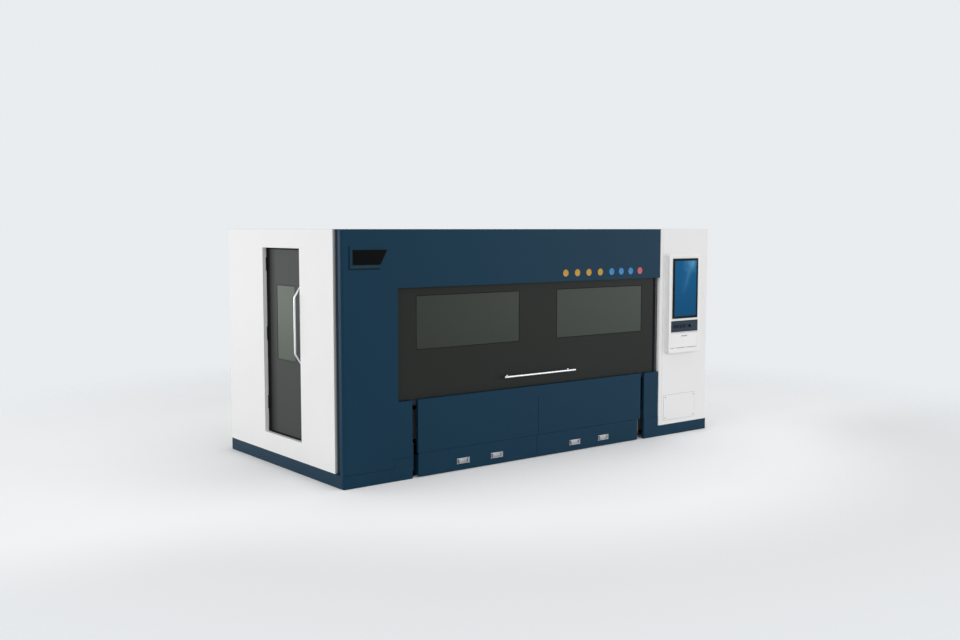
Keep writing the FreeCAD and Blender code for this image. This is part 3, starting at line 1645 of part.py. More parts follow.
def build_extraction():
    """Suction box behind the drawers and its pipe out through the rear panel."""
    low, high = "duct_height - duct_radius", "duct_top"
    run = ("bay_left + suction_west", "drawer_right - suction_east")
    whole = block("duct_box_whole", run, ("suction_start", "suction_end"), (low, high))
    hollow = block(
        "duct_box_hollow", (run[0] + " + duct_wall", run[1] + " - duct_wall"),
        ("suction_start + duct_wall", "suction_end - duct_wall"),
        (low + " + duct_wall", high + " - duct_wall"),
    )
    tools = [hollow]
    for number in range(4):
        middle = "%s + (%s - (%s)) * (2 * %d + 1) / 8" % (run[0], run[1], run[0], number)
        tools.append(block(
            "duct_intake_%d" % number,
            (middle + " - intake_width / 2", middle + " + intake_width / 2"),
            ("suction_start - cut_past", "suction_start + duct_wall + cut_past"),
            ("duct_height - intake_height / 2", "duct_height + intake_height / 2"),
        ))
    start = ("left + duct_from_left", "suction_end", "duct_height")
    outlet = rod(
        "duct_outlet", (start[0], "suction_end - duct_wall - cut_past", start[2]),
        "duct_radius - duct_wall", "duct_wall + 2 * cut_past", "y")
    box = cut("duct_box", whole, tools + [outlet])
    reach = "back + duct_reach - suction_end"
    pipe = ring("duct_pipe", start, "duct_radius", "duct_radius - duct_wall", reach, "y")
    node("suction_box", box)
    node("exhaust_pipe", pipe)


def sheet_case(name, x, y, z):
    """A case of sheet metal, open at its front, and the door that closes it."""
    rear = (y[0] + " + skin", y[1])
    shell = block(name + "_shell", x, rear, z)
    hollow = block(
        name + "_hollow", (x[0] + " + skin", x[1] + " - skin"), (y[0], y[1] + " - skin"),
        (z[0] + " + skin", z[1] + " - skin"))
    door = block(name + "_door", x, (y[0], rear[0]), z)
    return [cut(name, shell, [hollow]), door]


def build_cabinets():
    """Electrical cabinet and laser source on a shelf inside the column."""
    low = "plinth_height + 2 * skin"
    shelf = block(
        "column_shelf", ("column_frame", "frame_right"),
        ("front_post + frame_tube", "rear_post"), ("plinth_height + skin", low),
    )
    across = ("column_frame + frame_tube + cabinet_gap", "frame_right - frame_tube - cabinet_gap")
    source = sheet_case(
        "source_case", across, ("front_post + source_setback", "source_end"),
        (low, low + " + source_height"))
    cabinet = sheet_case(
        "cabinet_case", across, ("cabinet_start", "rear_post - frame_tube"), (low, "cabinet_top"))
    node("column_cabinets", group("cabinet_set", [shelf] + source + cabinet))


# ------------------------------------------------------------- moving gantry

def build_gantry():
    """Cross beam on two tapered feet, with its rails, rack, blocks and motors."""
    beam_run = ("-gantry_outer", "gantry_outer")
    beam = tube(
        "gantry_tube", ("gantry_left", "gantry_right"), beam_run,
        ("gantry_beam_bottom", "gantry_top"), "y", "beam_wall")
    steel = []
    for number, low in enumerate(("y_rail_lower", "y_rail_upper")):
        steel.append(block(
            "y_rail_%d" % number, ("gantry_right", "gantry_right + y_rail_size"), beam_run,
            (low, low + " + y_rail_size")))
    steel.append(block(
        "y_rack", ("y_rack_face - y_rack_width", "y_rack_face"), beam_run,
        ("gantry_top", "gantry_top + y_rack_height")))
    feet, blocks, motors = [], [], []
    for side, sign in (("front", -1), ("rear", 1)):
        feet.append(gantry_foot(side, sign))
        for number, way in enumerate(("-", "+")):
            blocks.append(carriage_block("%s_%d" % (side, number), sign, way))
        motors.append(x_motor(side, sign))
    node("gantry_beam", group("gantry_set", [beam] + feet + steel))
    node("x_carriages", group("carriage_blocks", blocks))
    node("x_drive_motors", group("x_motor_pair", motors))


def mirrored(sign, low, high):
    """A span along Y on the rear side, or its mirror on the front side."""
    return (low, high) if sign > 0 else ("-(%s)" % high, "-(%s)" % low)


def gantry_foot(side, sign):
    wedge = doc.addObject("Part::Wedge", "gantry_foot_" + side)
    half = "gantry_foot_length / 2"
    sizes = {
        "Xmin": "-" + half, "Xmax": half, "Ymin": "0", "Ymax": "gantry_beam_bottom - foot_bottom",
        "Zmin": "0", "Zmax": "foot_width", "X2min": "-gantry_beam_width / 2",
        "X2max": "gantry_beam_width / 2", "Z2min": "0", "Z2max": "foot_width",
    }
    for side_name, value in sizes.items():
        wedge.setExpression(side_name, bound(value))
    wedge.Placement = FreeCAD.Placement(
        FreeCAD.Vector(), FreeCAD.Rotation(FreeCAD.Vector(1, 0, 0), 90))
    rear_face = "gantry_outer" if sign > 0 else "foot_width - gantry_outer"
    put(wedge, "gantry_middle", rear_face, "foot_bottom")
    return wedge


def carriage_block(name, sign, way):
    """Linear block that straddles the long rail."""
    reach = "gantry_foot_length / 2 - carriage_block_length / 2 - block_end_inset"
    middle = "gantry_middle %s (%s)" % (way, reach)
    x = (middle + " - carriage_block_length / 2", middle + " + carriage_block_length / 2")
    y = mirrored(sign, "beam_centre - carriage_half_width", "beam_centre + carriage_half_width")
    slot_y = mirrored(
        sign, "beam_centre - rail_width / 2 - pinion_gap", "beam_centre + rail_width / 2 + pinion_gap")
    whole = block("block_whole_" + name, x, y, ("beam_top + rail_clear", "foot_bottom"))
    slot = block(
        "block_slot_" + name, x, slot_y, ("beam_top", "beam_top + rail_height + pinion_gap"))
    return cut("block_" + name, whole, [slot])


def x_motor(side, sign):
    """Motor and its bracket on the outer side of a gantry foot."""
    plate = block(
        "x_bracket_" + side, ("gantry_middle - motor_size / 2", "gantry_middle + motor_size / 2"),
        mirrored(sign, "gantry_outer", "pinion_centre + motor_size / 2"),
        ("foot_bottom", "foot_bottom + foot_plate_height"),
    )
    centre = ("gantry_middle", "%s(pinion_centre)" % ("" if sign > 0 else "-"))
    hole = rod(
        "x_bracket_hole_" + side, (centre[0], centre[1], "foot_bottom - cut_past"),
        "shaft_radius + pinion_gap", "foot_plate_height + 2 * cut_past", "z")
    motor = block(
        "x_motor_" + side, ("gantry_middle - motor_size / 2", "gantry_middle + motor_size / 2"),
        mirrored(sign, "gantry_outer + motor_gap", "pinion_centre + motor_size / 2"),
        ("foot_bottom + foot_plate_height", "foot_bottom + foot_plate_height + motor_height"),
    )
    return fuse("x_drive_" + side, [cut("x_plate_" + side, plate, [hole]), motor])


def pinion(label, x, y, low, shaft_top):
    """Drive pinion with its shaft, turning about an upright axis."""
    wheel = prism(
        label + "_wheel", (x, y, low), "pinion_radius - pinion_gap", "pinion_width", "z", 24)
    shaft = prism(
        label + "_shaft", (x, y, low), "shaft_radius", "%s - (%s)" % (shaft_top, low), "z")
    node(label, fuse(label + "_made", [wheel, shaft]))


def build_pinions():
    low = "beam_top + rail_clear"
    top = "foot_bottom + foot_plate_height - pinion_gap"
    pinion("x_pinion_front", "gantry_middle", "-pinion_centre", low, top)
    pinion("x_pinion_rear", "gantry_middle", "pinion_centre", low, top)
    pinion(
        "y_pinion", "y_pinion_x", "work_front", "gantry_top + y_pinion_clear",
        "y_shelf_bottom - pinion_gap")


def build_carriage():
    """Cross carriage with blocks and motor, the upright slide and the laser head."""
    plate_x = ("plate_near", "plate_far")
    half = "carriage_plate_width / 2"
    wide = ("work_front - " + half, "work_front + " + half)
    plate = block(
        "carriage_plate", plate_x, wide, ("gantry_beam_bottom + plate_drop", "y_shelf_bottom"))
    members = [plate]
    for row, low in enumerate(("y_rail_lower", "y_rail_upper")):
        for column, west in enumerate((wide[0], wide[1] + " - y_block_width")):
            name = "y_block_%d_%d" % (row, column)
            y = (west, west + " + y_block_width")
            whole = block(
                name + "_whole", ("gantry_right + y_block_gap", "plate_near"), y,
                (low + " - y_block_lap", low + " + y_rail_size + y_block_lap"))
            slot = block(
                name + "_slot", ("gantry_right", "gantry_right + y_rail_size + pinion_gap"), y,
                (low + " - pinion_gap", low + " + y_rail_size + pinion_gap"))
            members.append(cut(name, whole, [slot]))
    shelf_x = ("y_rack_face - y_rack_width", "plate_far")
    shelf_y = ("work_front - motor_size / 2", "work_front + motor_size / 2")
    shelf = block("y_shelf", shelf_x, shelf_y, ("y_shelf_bottom", "y_shelf_top"))
    hole = rod(
        "y_shelf_hole", ("y_pinion_x", "work_front", "y_shelf_bottom - cut_past"),
        "shaft_radius + pinion_gap", "foot_plate_height + 2 * cut_past", "z")
    pocket_made = rod(
        "y_plate_hole", ("y_pinion_x", "work_front", "gantry_top"),
        "pinion_radius + pinion_side_gap", "y_pinion_clear + pinion_width + pinion_room", "z")
    motor = block(
        "y_motor", ("y_pinion_x - motor_size / 2", "y_pinion_x + motor_size / 2"),
        shelf_y, ("y_shelf_top", "y_shelf_top + motor_height"))
    members.append(cut("y_shelf_cut", shelf, [hole]))
    members.append(motor)
    members[0] = cut("carriage_plate_cut", plate, [pocket_made])
    for number, sign in enumerate(("-", "+")):
        y = "work_front %s z_rail_spread" % sign
        members.append(block(
            "z_rail_%d" % number, ("plate_far", "plate_far + z_rail_thickness"),
            (y + " - z_rail_width / 2", y + " + z_rail_width / 2"),
            ("gantry_beam_bottom + plate_drop", "y_shelf_bottom")))
    node("cross_carriage", group("carriage_set", members))

    slide_back = "plate_far + z_rail_thickness"
    slide_x = (slide_back + " + pinion_gap", slide_back + " + slide_thickness")
    node("z_slide", block(
        "z_slide_plate", slide_x,
        ("work_front - slide_width / 2", "work_front + slide_width / 2"),
        ("gantry_beam_bottom + slide_drop", "gantry_top - slide_top_gap")))
    cone = doc.addObject("Part::Cone", "nozzle_cone")
    for name, value in {
        "Radius1": "nozzle_tip_radius", "Radius2": "head_radius", "Height": "nozzle_length",
    }.items():
        cone.setExpression(name, bound(value))
    put(cone, "work_left", "work_front", "nozzle_tip")
    body_x = (slide_x[1], "work_left + (work_left - (%s))" % slide_x[1])
    body = block(
        "head_body", body_x,
        ("work_front - head_body_width / 2", "work_front + head_body_width / 2"),
        ("head_body_bottom", "head_body_top"))
    barrel = prism(
        "head_barrel", ("work_left", "work_front", "nozzle_tip + nozzle_length"),
        "head_radius", "head_barrel_length", "z", 24)
    collimator = prism(
        "head_collimator", ("work_left", "work_front", "head_body_top"),
        "collimator_radius", "collimator_length", "z")
    plug = prism(
        "head_plug", ("work_left", "work_front", "head_body_top + collimator_length"),
        "plug_radius", "plug_length", "z")
    node("laser_head", fuse("head", [cone, body, barrel, collimator, plug]))


# --------------------------------------------------------------------- write

def write_parts():
    doc.recompute()
    for made in doc.Objects:
        if "Invalid" in made.State or "Error" in made.State:
            raise RuntimeError("%s failed to build" % made.Name)
    os.makedirs("parts", exist_ok=True)
    for made in NODES:
        shape = made.Shape
        if shape.isNull() or not shape.isValid() or not shape.Solids:
            raise RuntimeError("%s has no valid solid" % made.Label)
        shape.exportStep("parts/%s.step" % made.Label)
    print("%d sub-parts written" % len(NODES))


build_portal()
build_plinth()
build_groove()
build_left_panel()
build_rear_panels()
build_roof()
build_lower_front()
build_column()
build_column_sides()
build_badge()
build_tube_frame()
build_front_door()
build_door_gear()
build_side_door()
build_drawers()
build_console()
build_bed()
build_rails()
build_table()
build_chutes()
build_extraction()
build_cabinets()
build_gantry()
build_pinions()
build_carriage()
write_parts()
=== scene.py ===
import json
import math

import bpy
from bpy.props import FloatProperty, FloatVectorProperty, IntProperty, PointerProperty
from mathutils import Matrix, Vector

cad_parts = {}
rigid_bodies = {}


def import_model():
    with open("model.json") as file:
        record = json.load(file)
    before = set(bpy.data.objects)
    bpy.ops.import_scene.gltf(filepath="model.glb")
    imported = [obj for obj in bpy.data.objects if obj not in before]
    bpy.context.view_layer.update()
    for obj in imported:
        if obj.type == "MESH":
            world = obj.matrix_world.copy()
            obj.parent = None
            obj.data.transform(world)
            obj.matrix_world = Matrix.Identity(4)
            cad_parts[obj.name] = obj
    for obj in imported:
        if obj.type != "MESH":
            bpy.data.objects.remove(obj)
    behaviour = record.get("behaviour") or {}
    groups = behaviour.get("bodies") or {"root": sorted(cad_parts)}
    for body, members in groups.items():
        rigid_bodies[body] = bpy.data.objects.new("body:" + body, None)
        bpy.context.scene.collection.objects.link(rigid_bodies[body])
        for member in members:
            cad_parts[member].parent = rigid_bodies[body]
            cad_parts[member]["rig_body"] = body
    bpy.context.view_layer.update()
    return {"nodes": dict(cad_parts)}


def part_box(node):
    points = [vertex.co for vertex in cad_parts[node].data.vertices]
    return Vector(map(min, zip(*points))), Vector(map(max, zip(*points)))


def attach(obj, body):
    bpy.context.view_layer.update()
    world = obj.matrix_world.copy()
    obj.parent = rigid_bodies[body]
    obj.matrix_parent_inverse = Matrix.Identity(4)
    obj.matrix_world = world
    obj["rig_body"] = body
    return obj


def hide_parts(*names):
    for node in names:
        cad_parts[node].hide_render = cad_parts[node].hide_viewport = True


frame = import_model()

bl_info = {
    "name": "Sheet laser cutting machine",
    "version": (1, 0, 0),
    "blender": (4, 5, 0),
    "location": "View3D > Sidebar > Laser machine",
    "description": "Dresses the packed machine in its panels, doors, console and drives",
    "category": "Object",
}

MM = 0.001
MERGE_REACH = 0.00001  # corners nearer than this are merged
FLAT_ANGLE = math.radians(0.4)  # faces that turn less than this are one flat
SHARP_ANGLE = math.radians(38.0)  # edges that turn more than this are rounded


# ---------------------------------------------------------------- settings

def length(name, description, value, low=0.0):
    """A size in metres, shown with its unit."""
    return FloatProperty(
        name=name, description=description, default=value, min=low, unit="LENGTH", precision=4)


def power(name, description, value):
    """The power of a lamp in watts."""
    return FloatProperty(
        name=name, description=description, default=value, min=0.0, subtype="POWER")


def colour(name, description, value):
    """A plain linear colour."""
    return FloatVectorProperty(
        name=name, description=description, default=value, size=3, min=0.0, max=1.0,
        subtype="COLOR")


def number(name, description, value, low, high):
    """A whole number between two others."""
    return IntProperty(name=name, description=description, default=value, min=low, max=high)


class PaintSettings(bpy.types.PropertyGroup):
    """Colours of the sprayed and powder coated sheets."""

    navy: colour("Navy", "Coat of the blue panels and drawers", (0.0044, 0.0320, 0.0615))
    white: colour("White", "Coat of the white panels and console", (0.80, 0.80, 0.795))
    charcoal: colour("Charcoal", "Coat of the lifting door", (0.0145, 0.0172, 0.0146))
    # a paler copy of the charcoal: painted light on the lit left side
    side_grey: colour("Side door grey", "Coat of the hinged service door", (0.046, 0.051, 0.049))
    # a greyer navy for the groove's floor, with painted sheen in it
    channel: colour("Channel grey", "Groove between the blue corner and the white side",
                    (0.014, 0.032, 0.052))
    edge_round: length("Sheet edge", "Round left on each folded sheet edge", 0.0013)


class MetalSettings(bpy.types.PropertyGroup):
    """Colours of the bare metals."""

    aluminium: colour("Aluminium", "Bar handle, bow handle and head", (0.72, 0.73, 0.74))
    zinc: colour("Zinc plate", "Chest handles and feet", (0.42, 0.43, 0.44))
    ground: colour("Ground steel", "Rails, blocks and pinions", (0.48, 0.49, 0.50))
    copper: colour("Copper", "Cutting nozzle", (0.80, 0.36, 0.20))


class DoorSettings(bpy.types.PropertyGroup):
    """Panes, beads and handles of the two doors."""

    pane: colour("Pane tint", "Tint of the lifting door's panes", (0.031, 0.038, 0.033))
    side_pane: colour("Side pane tint", "Tint of the service door's pane", (0.055, 0.070, 0.053))
    bead_width: length("Bead width", "Width of the rubber bead round a pane", 0.007)
    bar_radius: length("Bar radius", "Radius of the lifting door's bar handle", 0.010)
    bow_radius: length("Bow radius", "Radius of the service door's bow handle", 0.011)
    bow_bend: length("Bow bend", "Radius of the bends in the bow handle", 0.030)


class ConsoleSettings(bpy.types.PropertyGroup):
    """Screen, keys and keyboard of the operator console."""

    screen: colour("Screen blue", "Colour of the lit screen", (0.0008, 0.076, 0.190))
    # the pale streaks are painted highlights on the screen
    painted_screen_highlight: colour("Screen glow", "Colour of the pale streaks on the screen",
                        (0.075, 0.27, 0.47))
    key: colour("Key grey", "Colour of the panel keys", (0.014, 0.020, 0.029))
    cap_columns: number("Key columns", "Keys in one row of the keyboard", 15, 4, 24)
    cap_rows: number("Key rows", "Rows of keys on the keyboard", 5, 2, 8)


class InsideSettings(bpy.types.PropertyGroup):
    """Sizes of the drives and the fixings inside."""

    tooth_module: length("Tooth module", "Module of the racks and pinions", 0.002, 0.0005)
    bolt_pitch: length("Bolt pitch", "Distance between the rail bolts", 0.080, 0.02)
    rib_count: number("Motor ribs", "Cooling ribs on each side of a motor", 7, 2, 16)


class StudioSettings(bpy.types.PropertyGroup):
    """Floor, backdrop, lamps and camera."""

    backdrop: colour("Backdrop", "Colour behind the machine", (0.815, 0.845, 0.868))
    floor: colour("Floor", "Colour of the floor by the machine", (0.935, 0.940, 0.945))
    floor_radius: length("Floor radius", "Where the floor has faded into the backdrop", 7.5)
    sky: FloatProperty(
        name="Sky", description="Strength of the even light from all round", default=0.52,
        min=0.0)
    left_lamp: power("Left lamp", "Power of the large lamp on the left", 165.0)
    rear_lamp: power("Rear lamp", "Power of the long lamp behind the left side", 262.0)
    front_lamp: power("Front lamp", "Power of the large lamp before the front", 162.0)
    right_lamp: power("Right lamp", "Power of the tall lamp right of the front", 222.0)
    top_lamp: power("Top lamp", "Power of the lamp above the roof", 190.0)
    lens: FloatProperty(
        name="Lens", description="Focal length of the camera", default=40.0, min=1.0,
        unit="CAMERA")


SETTINGS = {
    "laser_paint": PaintSettings,
    "laser_metal": MetalSettings,
    "laser_door": DoorSettings,
    "laser_console": ConsoleSettings,
    "laser_inside": InsideSettings,
    "laser_studio": StudioSettings,
}


# ---------------------------------------------------------------- shader maths

def arithmetic(operation, turned=False):
    """A method that adds one Math node, with its two terms turned round where asked."""
    def method(self, other):
        terms = (other, self) if turned else (self, other)
        return self.finish.math(operation, *terms)
    return method


class Value:
    """A shader link; arithmetic on it adds Math nodes."""

    def __init__(self, finish, socket):
        self.finish, self.socket = finish, socket

    __add__ = __radd__ = arithmetic("ADD")
    __sub__, __rsub__ = arithmetic("SUBTRACT"), arithmetic("SUBTRACT", True)
    __mul__ = __rmul__ = arithmetic("MULTIPLY")
    __truediv__, __rtruediv__ = arithmetic("DIVIDE"), arithmetic("DIVIDE", True)
    __pow__ = arithmetic("POWER")


class Finish:
    """The nodes of one surface finish."""

    def __init__(self, name, tree=None):
        if tree is None:
            self.material = bpy.data.materials.new(name)
            self.material.use_nodes = True
            tree = self.material.node_tree
        self.tree = tree
        self.tree.nodes.clear()

    def node(self, kind, inputs=None, **settings):
        """Add a node, set it up, then feed its sockets."""
        made = self.tree.nodes.new(kind)
        for key, value in settings.items():
            setattr(made, key, value)
        for key, value in (inputs or {}).items():
            self.feed(self.find(made.inputs, key), value)
        return made

    @staticmethod
    def find(sockets, key):
        """A socket by its place, its identifier or its name."""
        if isinstance(key, int):
            return sockets[key]
        named = [socket for socket in sockets if socket.identifier == key]
        return named[0] if named else sockets[key]

    def feed(self, socket, value):
        """Link a value, or set it where it is a plain number or colour."""
        if isinstance(value, Value):
            self.tree.links.new(value.socket, socket)
        else:
            socket.default_value = (*value, 1.0) if socket.type == "RGBA" else value

    def value(self, made, key=0):
        return Value(self, self.find(made.outputs, key))

    def math(self, operation, *terms):
        return self.value(self.node(
            "ShaderNodeMath", dict(enumerate(terms)), operation=operation))

    def place(self, stretch=None):
        """Object coordinates in metres, stretched where a grain runs one way."""
        spot = self.value(self.node("ShaderNodeTexCoord"), "Object")
        if stretch is None:
            return spot
        return self.value(self.node(
            "ShaderNodeVectorMath", {0: spot, 1: stretch}, operation="MULTIPLY"))

    def split(self, spot):
        """The X, Y and Z of a place."""
        made = self.node("ShaderNodeSeparateXYZ", {0: spot})
        return [self.value(made, axis) for axis in range(3)]

    def noise(self, spot, scale, detail=2.0, roughness=0.5):
        return self.value(self.node("ShaderNodeTexNoise", {
            "Vector": spot, "Scale": scale, "Detail": detail, "Roughness": roughness}))

    def grain(self, stretch, detail=3.0, roughness=0.5):
        """Noise at a scale of its own along each axis."""
        return self.noise(self.place(stretch), 1.0, detail, roughness)

    def cells(self, spot, scale):
        """Cell pattern: the distance from each centre, and each cell's own colour."""
        made = self.node("ShaderNodeTexVoronoi", {"Vector": spot, "Scale": scale})
        return self.value(made, "Distance"), self.value(made, "Color")

    def fade(self, value, start, end, low=0.0, high=1.0):
        """A smooth step of a value between two of its levels."""
        return self.value(self.node(
            "ShaderNodeMapRange",
            {"Value": value, "From Min": start, "From Max": end, "To Min": low, "To Max": high},
            interpolation_type="SMOOTHSTEP"))

    def mix(self, factor, first, second):
        """Mix two colours."""
        made = self.node("ShaderNodeMix", {
            "Factor_Float": factor, "A_Color": first, "B_Color": second}, data_type="RGBA")
        return self.value(made, "Result_Color")

    def shades(self, factor, tint, dark, pale):
        """Mix a darker and a paler shade of one colour."""
        return self.mix(factor, shade(tint, dark), shade(tint, pale))

    def bump(self, height, distance, strength=1.0):
        return self.value(self.node("ShaderNodeBump", {
            "Strength": strength, "Distance": distance, "Height": height}))

    def seen(self):
        """1 where the camera sees this, straight or in metal and glass, else 0."""
        rays = self.node("ShaderNodeLightPath")
        camera, glossy, through = (self.value(rays, key) for key in (
            "Is Camera Ray", "Is Glossy Ray", "Is Transmission Ray"))
        return self.math("MAXIMUM", self.math("MAXIMUM", camera, glossy), through)

    def surface(self, inputs):
        """Close the finish with its shader."""
        return self.output(self.value(self.node("ShaderNodeBsdfPrincipled", inputs)))

    def output(self, shader):
        self.node("ShaderNodeOutputMaterial", {"Surface": shader})
        return self.material


def shade(tint, factor):
    """A colour made lighter or darker."""
    return tuple(min(1.0, part * factor) for part in tint)


def powder_coat(name, tint, roughness, gloss, dust=0.0, painted_shade=None):
    """Baked powder coat: faint orange peel, slow drift of tone and dust low down.

    Where painted_shade is given, painted shade darkens the paint along one axis between two places.
    """
    finish = Finish(name)
    spot = finish.place()
    drift = finish.noise(spot, 0.9, 3.0)
    peel = finish.noise(spot, 420.0)
    grit = finish.noise(spot, 1700.0, 1.0)
    film = finish.noise(spot, 7.0, 4.0, 0.62)
    places = finish.split(spot)
    dusty = finish.fade(places[2], 0.32, 0.0) * finish.fade(film, 0.35, 0.75) * dust
    tone = finish.shades(drift, tint, 0.96, 1.04)
    grained = finish.mix(finish.fade(grit, 0.3, 0.7, 0.0, 0.06), tone, shade(tint, 1.5))
    # painted shade: the coat darkens towards one edge, where shade would fall
    if painted_shade:
        axis, start, end, factor = painted_shade
        grained = finish.mix(
            finish.fade(places[axis], start, end), grained, shade(tint, factor))
    return finish.surface({
        "Base Color": finish.mix(dusty, grained, (0.36, 0.35, 0.33)),
        "Roughness": roughness + 0.10 * (drift - 0.5) + 0.06 * (grit - 0.5) + dusty * 0.5,
        "Normal": finish.bump(peel * 0.8 + grit * 0.2, 0.00012, 0.35),
        "Specular IOR Level": gloss,
    })


def brushed_metal(name, tint, stretch, roughness):
    """Metal with a fine grain drawn along one way."""
    finish = Finish(name)
    grain = finish.grain(stretch, 3.0, 0.6)
    cloud = finish.noise(finish.place(), 14.0, 3.0)
    return finish.surface({
        "Base Color": finish.mix(
            cloud * 0.25, finish.shades(grain, tint, 0.86, 1.08), shade(tint, 0.8)),
        "Metallic": 1.0,
        "Roughness": roughness + 0.16 * (grain - 0.5) + 0.08 * (cloud - 0.5),
        "Normal": finish.bump(grain, 0.00005, 0.5),
    })


def plated_metal(name, tint, roughness):
    """Zinc plate: cloudy passivation with darker traces in places."""
    finish = Finish(name)
    spot = finish.place()
    cloud = finish.noise(spot, 38.0, 4.0, 0.6)
    stain = finish.fade(finish.noise(spot, 11.0, 5.0, 0.65), 0.56, 0.74)
    return finish.surface({
        "Base Color": finish.mix(
            stain * 0.35, finish.shades(cloud, tint, 0.84, 1.1), shade(tint, 0.45)),
        "Metallic": 1.0,
        "Roughness": roughness + 0.2 * (cloud - 0.5) + stain * 0.12,
        "Normal": finish.bump(finish.noise(spot, 900.0), 0.00004, 0.4),
    })


def galvanised_sheet(name, tint):
    """Hot dipped sheet with its crystal spangle."""
    finish = Finish(name)
    spread, cell = finish.cells(finish.place(), 85.0)
    grey = finish.value(finish.node("ShaderNodeRGBToBW", {0: cell}))
    streak = finish.fade(finish.grain((3.0, 3.0, 60.0)), 0.5, 0.75, 0.0, 0.3)
    return finish.surface({
        "Base Color": finish.mix(
            streak, finish.shades(grey, tint, 0.72, 1.12), (0.3, 0.29, 0.28)),
        "Metallic": 1.0,
        "Roughness": 0.34 + grey * 0.22,
        "Normal": finish.bump(spread, 0.00006, 0.3),
    })


def burnt_slat(name, tint):
    """Mill steel that the cutting flame has browned and spattered along the tips."""
    finish = Finish(name)
    spot = finish.place()
    cloud = finish.noise(spot, 9.0, 5.0, 0.6)
    scale = finish.noise(spot, 55.0, 4.0, 0.7)
    burnt = finish.fade(finish.split(spot)[2] + 0.05 * cloud, 0.655, 0.735)
    spatter = finish.fade(finish.cells(spot, 260.0)[0], 0.34, 0.16) * burnt
    browned = finish.mix(finish.fade(scale, 0.4, 0.65), (0.085, 0.05, 0.035), (0.03, 0.028, 0.03))
    return finish.surface({
        "Base Color": finish.mix(burnt * 0.9, finish.shades(scale, tint, 0.7, 1.15), browned),
        "Metallic": 0.9 - burnt * 0.55,
        "Roughness": 0.42 + 0.2 * cloud + burnt * 0.2,
        "Normal": finish.bump(spatter + 0.25 * scale, 0.0007, 0.8),
    })


def anodised(name, tint):
    """Bead blasted aluminium under a clear anodised skin."""
    finish = Finish(name)
    spot = finish.place()
    fine = finish.noise(spot, 1300.0)
    return finish.surface({
        "Base Color": finish.shades(finish.noise(spot, 20.0, 3.0), tint, 0.92, 1.05),
        "Metallic": 0.85,
        "Roughness": 0.34 + 0.12 * (fine - 0.5),
        "Normal": finish.bump(fine, 0.00003, 0.5),
    })


def moulded_plastic(name, tint, roughness, gloss=0.35, grain=0.00008):
    """Moulded plastic with a fine spark texture."""
    finish = Finish(name)
    spot = finish.place()
    spark = finish.noise(spot, 1500.0, 3.0, 0.6)
    cloud = finish.noise(spot, 5.0, 3.0)
    return finish.surface({
        "Base Color": finish.shades(cloud, tint, 0.9, 1.1),
        "Roughness": roughness + 0.10 * (spark - 0.5) + 0.06 * (cloud - 0.5),
        "Normal": finish.bump(spark, grain, 0.5),
        "Specular IOR Level": gloss,
    })


def rubber(name, dark=0.004, pale=0.012):
    """Extruded rubber with a matt bloom between a dark and a paler grey."""
    finish = Finish(name)
    spot = finish.place()
    bloom = finish.noise(spot, 60.0, 4.0, 0.65)
    return finish.surface({
        "Base Color": finish.mix(bloom, (dark,) * 3, (pale, pale, pale * 1.05)),
        "Roughness": 0.62 + 0.2 * bloom,
        "Normal": finish.bump(finish.noise(spot, 700.0), 0.00012, 0.5),
        "Specular IOR Level": 0.06,
    })


def tinted_pane(name, tint, foot, top, west, east):
    """Smoked safety pane with a painted reflection that makes it paler towards its top and its east
    side, and a wiped film.
    """
    finish = Finish(name)
    spot = finish.place()
    along, _, up = finish.split(spot)
    # painted reflection: the tint pales towards the top and the east side
    lift = finish.fade(up, foot, top, 0.0, 0.15)
    run = (along - west) / (east - west)
    wipe = finish.grain((1.6, 1.6, 3.0))
    tone = finish.mix(lift + run * 0.85, tint, shade(tint, 1.7))
    return finish.surface({
        "Base Color": finish.mix(wipe * 0.02, tone, (0.3, 0.32, 0.31)),
        "Roughness": 0.30 + 0.08 * wipe,
        "Normal": finish.bump(finish.noise(spot, 2.2), 0.0006, 0.15),
        "Specular IOR Level": 0.10,
        "Alpha": 0.93,
    })


def lit_screen(name, tint, highlight, low, high):
    """Lit display: a deep blue field with painted highlights, soft pale streaks towards the upper
    right, given off as light.
    """
    finish = Finish(name)
    along, _, up = finish.split(finish.place())
    across = (along - low.x) / (high.x - low.x)
    rise = (up - low.z) / (high.z - low.z)
    # painted highlights: a streak and a pale upper corner, given off as light
    sweep = across * 0.77 - rise * 0.64 - 0.02
    haze = finish.grain((7.0, 7.0, 4.0))
    bow = finish.math("ABSOLUTE", sweep + 0.12 * (haze - 0.5))
    streak = 1.0 / (1.0 + (bow * 16.0) ** 2.0)
    painted_corner_highlight = finish.fade(rise, 0.74, 0.95) * finish.fade(across, 0.30, 0.62)
    crown = painted_corner_highlight * finish.fade(haze, 0.40, 0.68)
    painted_highlight = finish.math(
        "MINIMUM", streak * finish.fade(rise, 0.30, 0.75) * 0.30 + crown * 0.75, 1.0)
    return finish.surface({
        "Base Color": (0.004, 0.006, 0.010),
        "Emission Color": finish.mix(painted_highlight, finish.shades(rise, tint, 0.86, 1.18), highlight),
        "Emission Strength": 1.0,
        "Roughness": 0.16 + 0.05 * haze,
        "Specular IOR Level": 0.012,
    })


def polished_copper(name, tint):
    """Turned copper, darkened by heat towards its tip."""
    finish = Finish(name)
    turned = finish.grain((20.0, 20.0, 2600.0), 2.0)
    heat = finish.fade(finish.split(finish.place())[2], 0.765, 0.742)
    return finish.surface({
        "Base Color": finish.mix(heat * 0.8, tint, (0.20, 0.09, 0.10)),
        "Metallic": 1.0,
        "Roughness": 0.22 + 0.15 * turned,
        "Normal": finish.bump(turned, 0.00003, 0.4),
    })


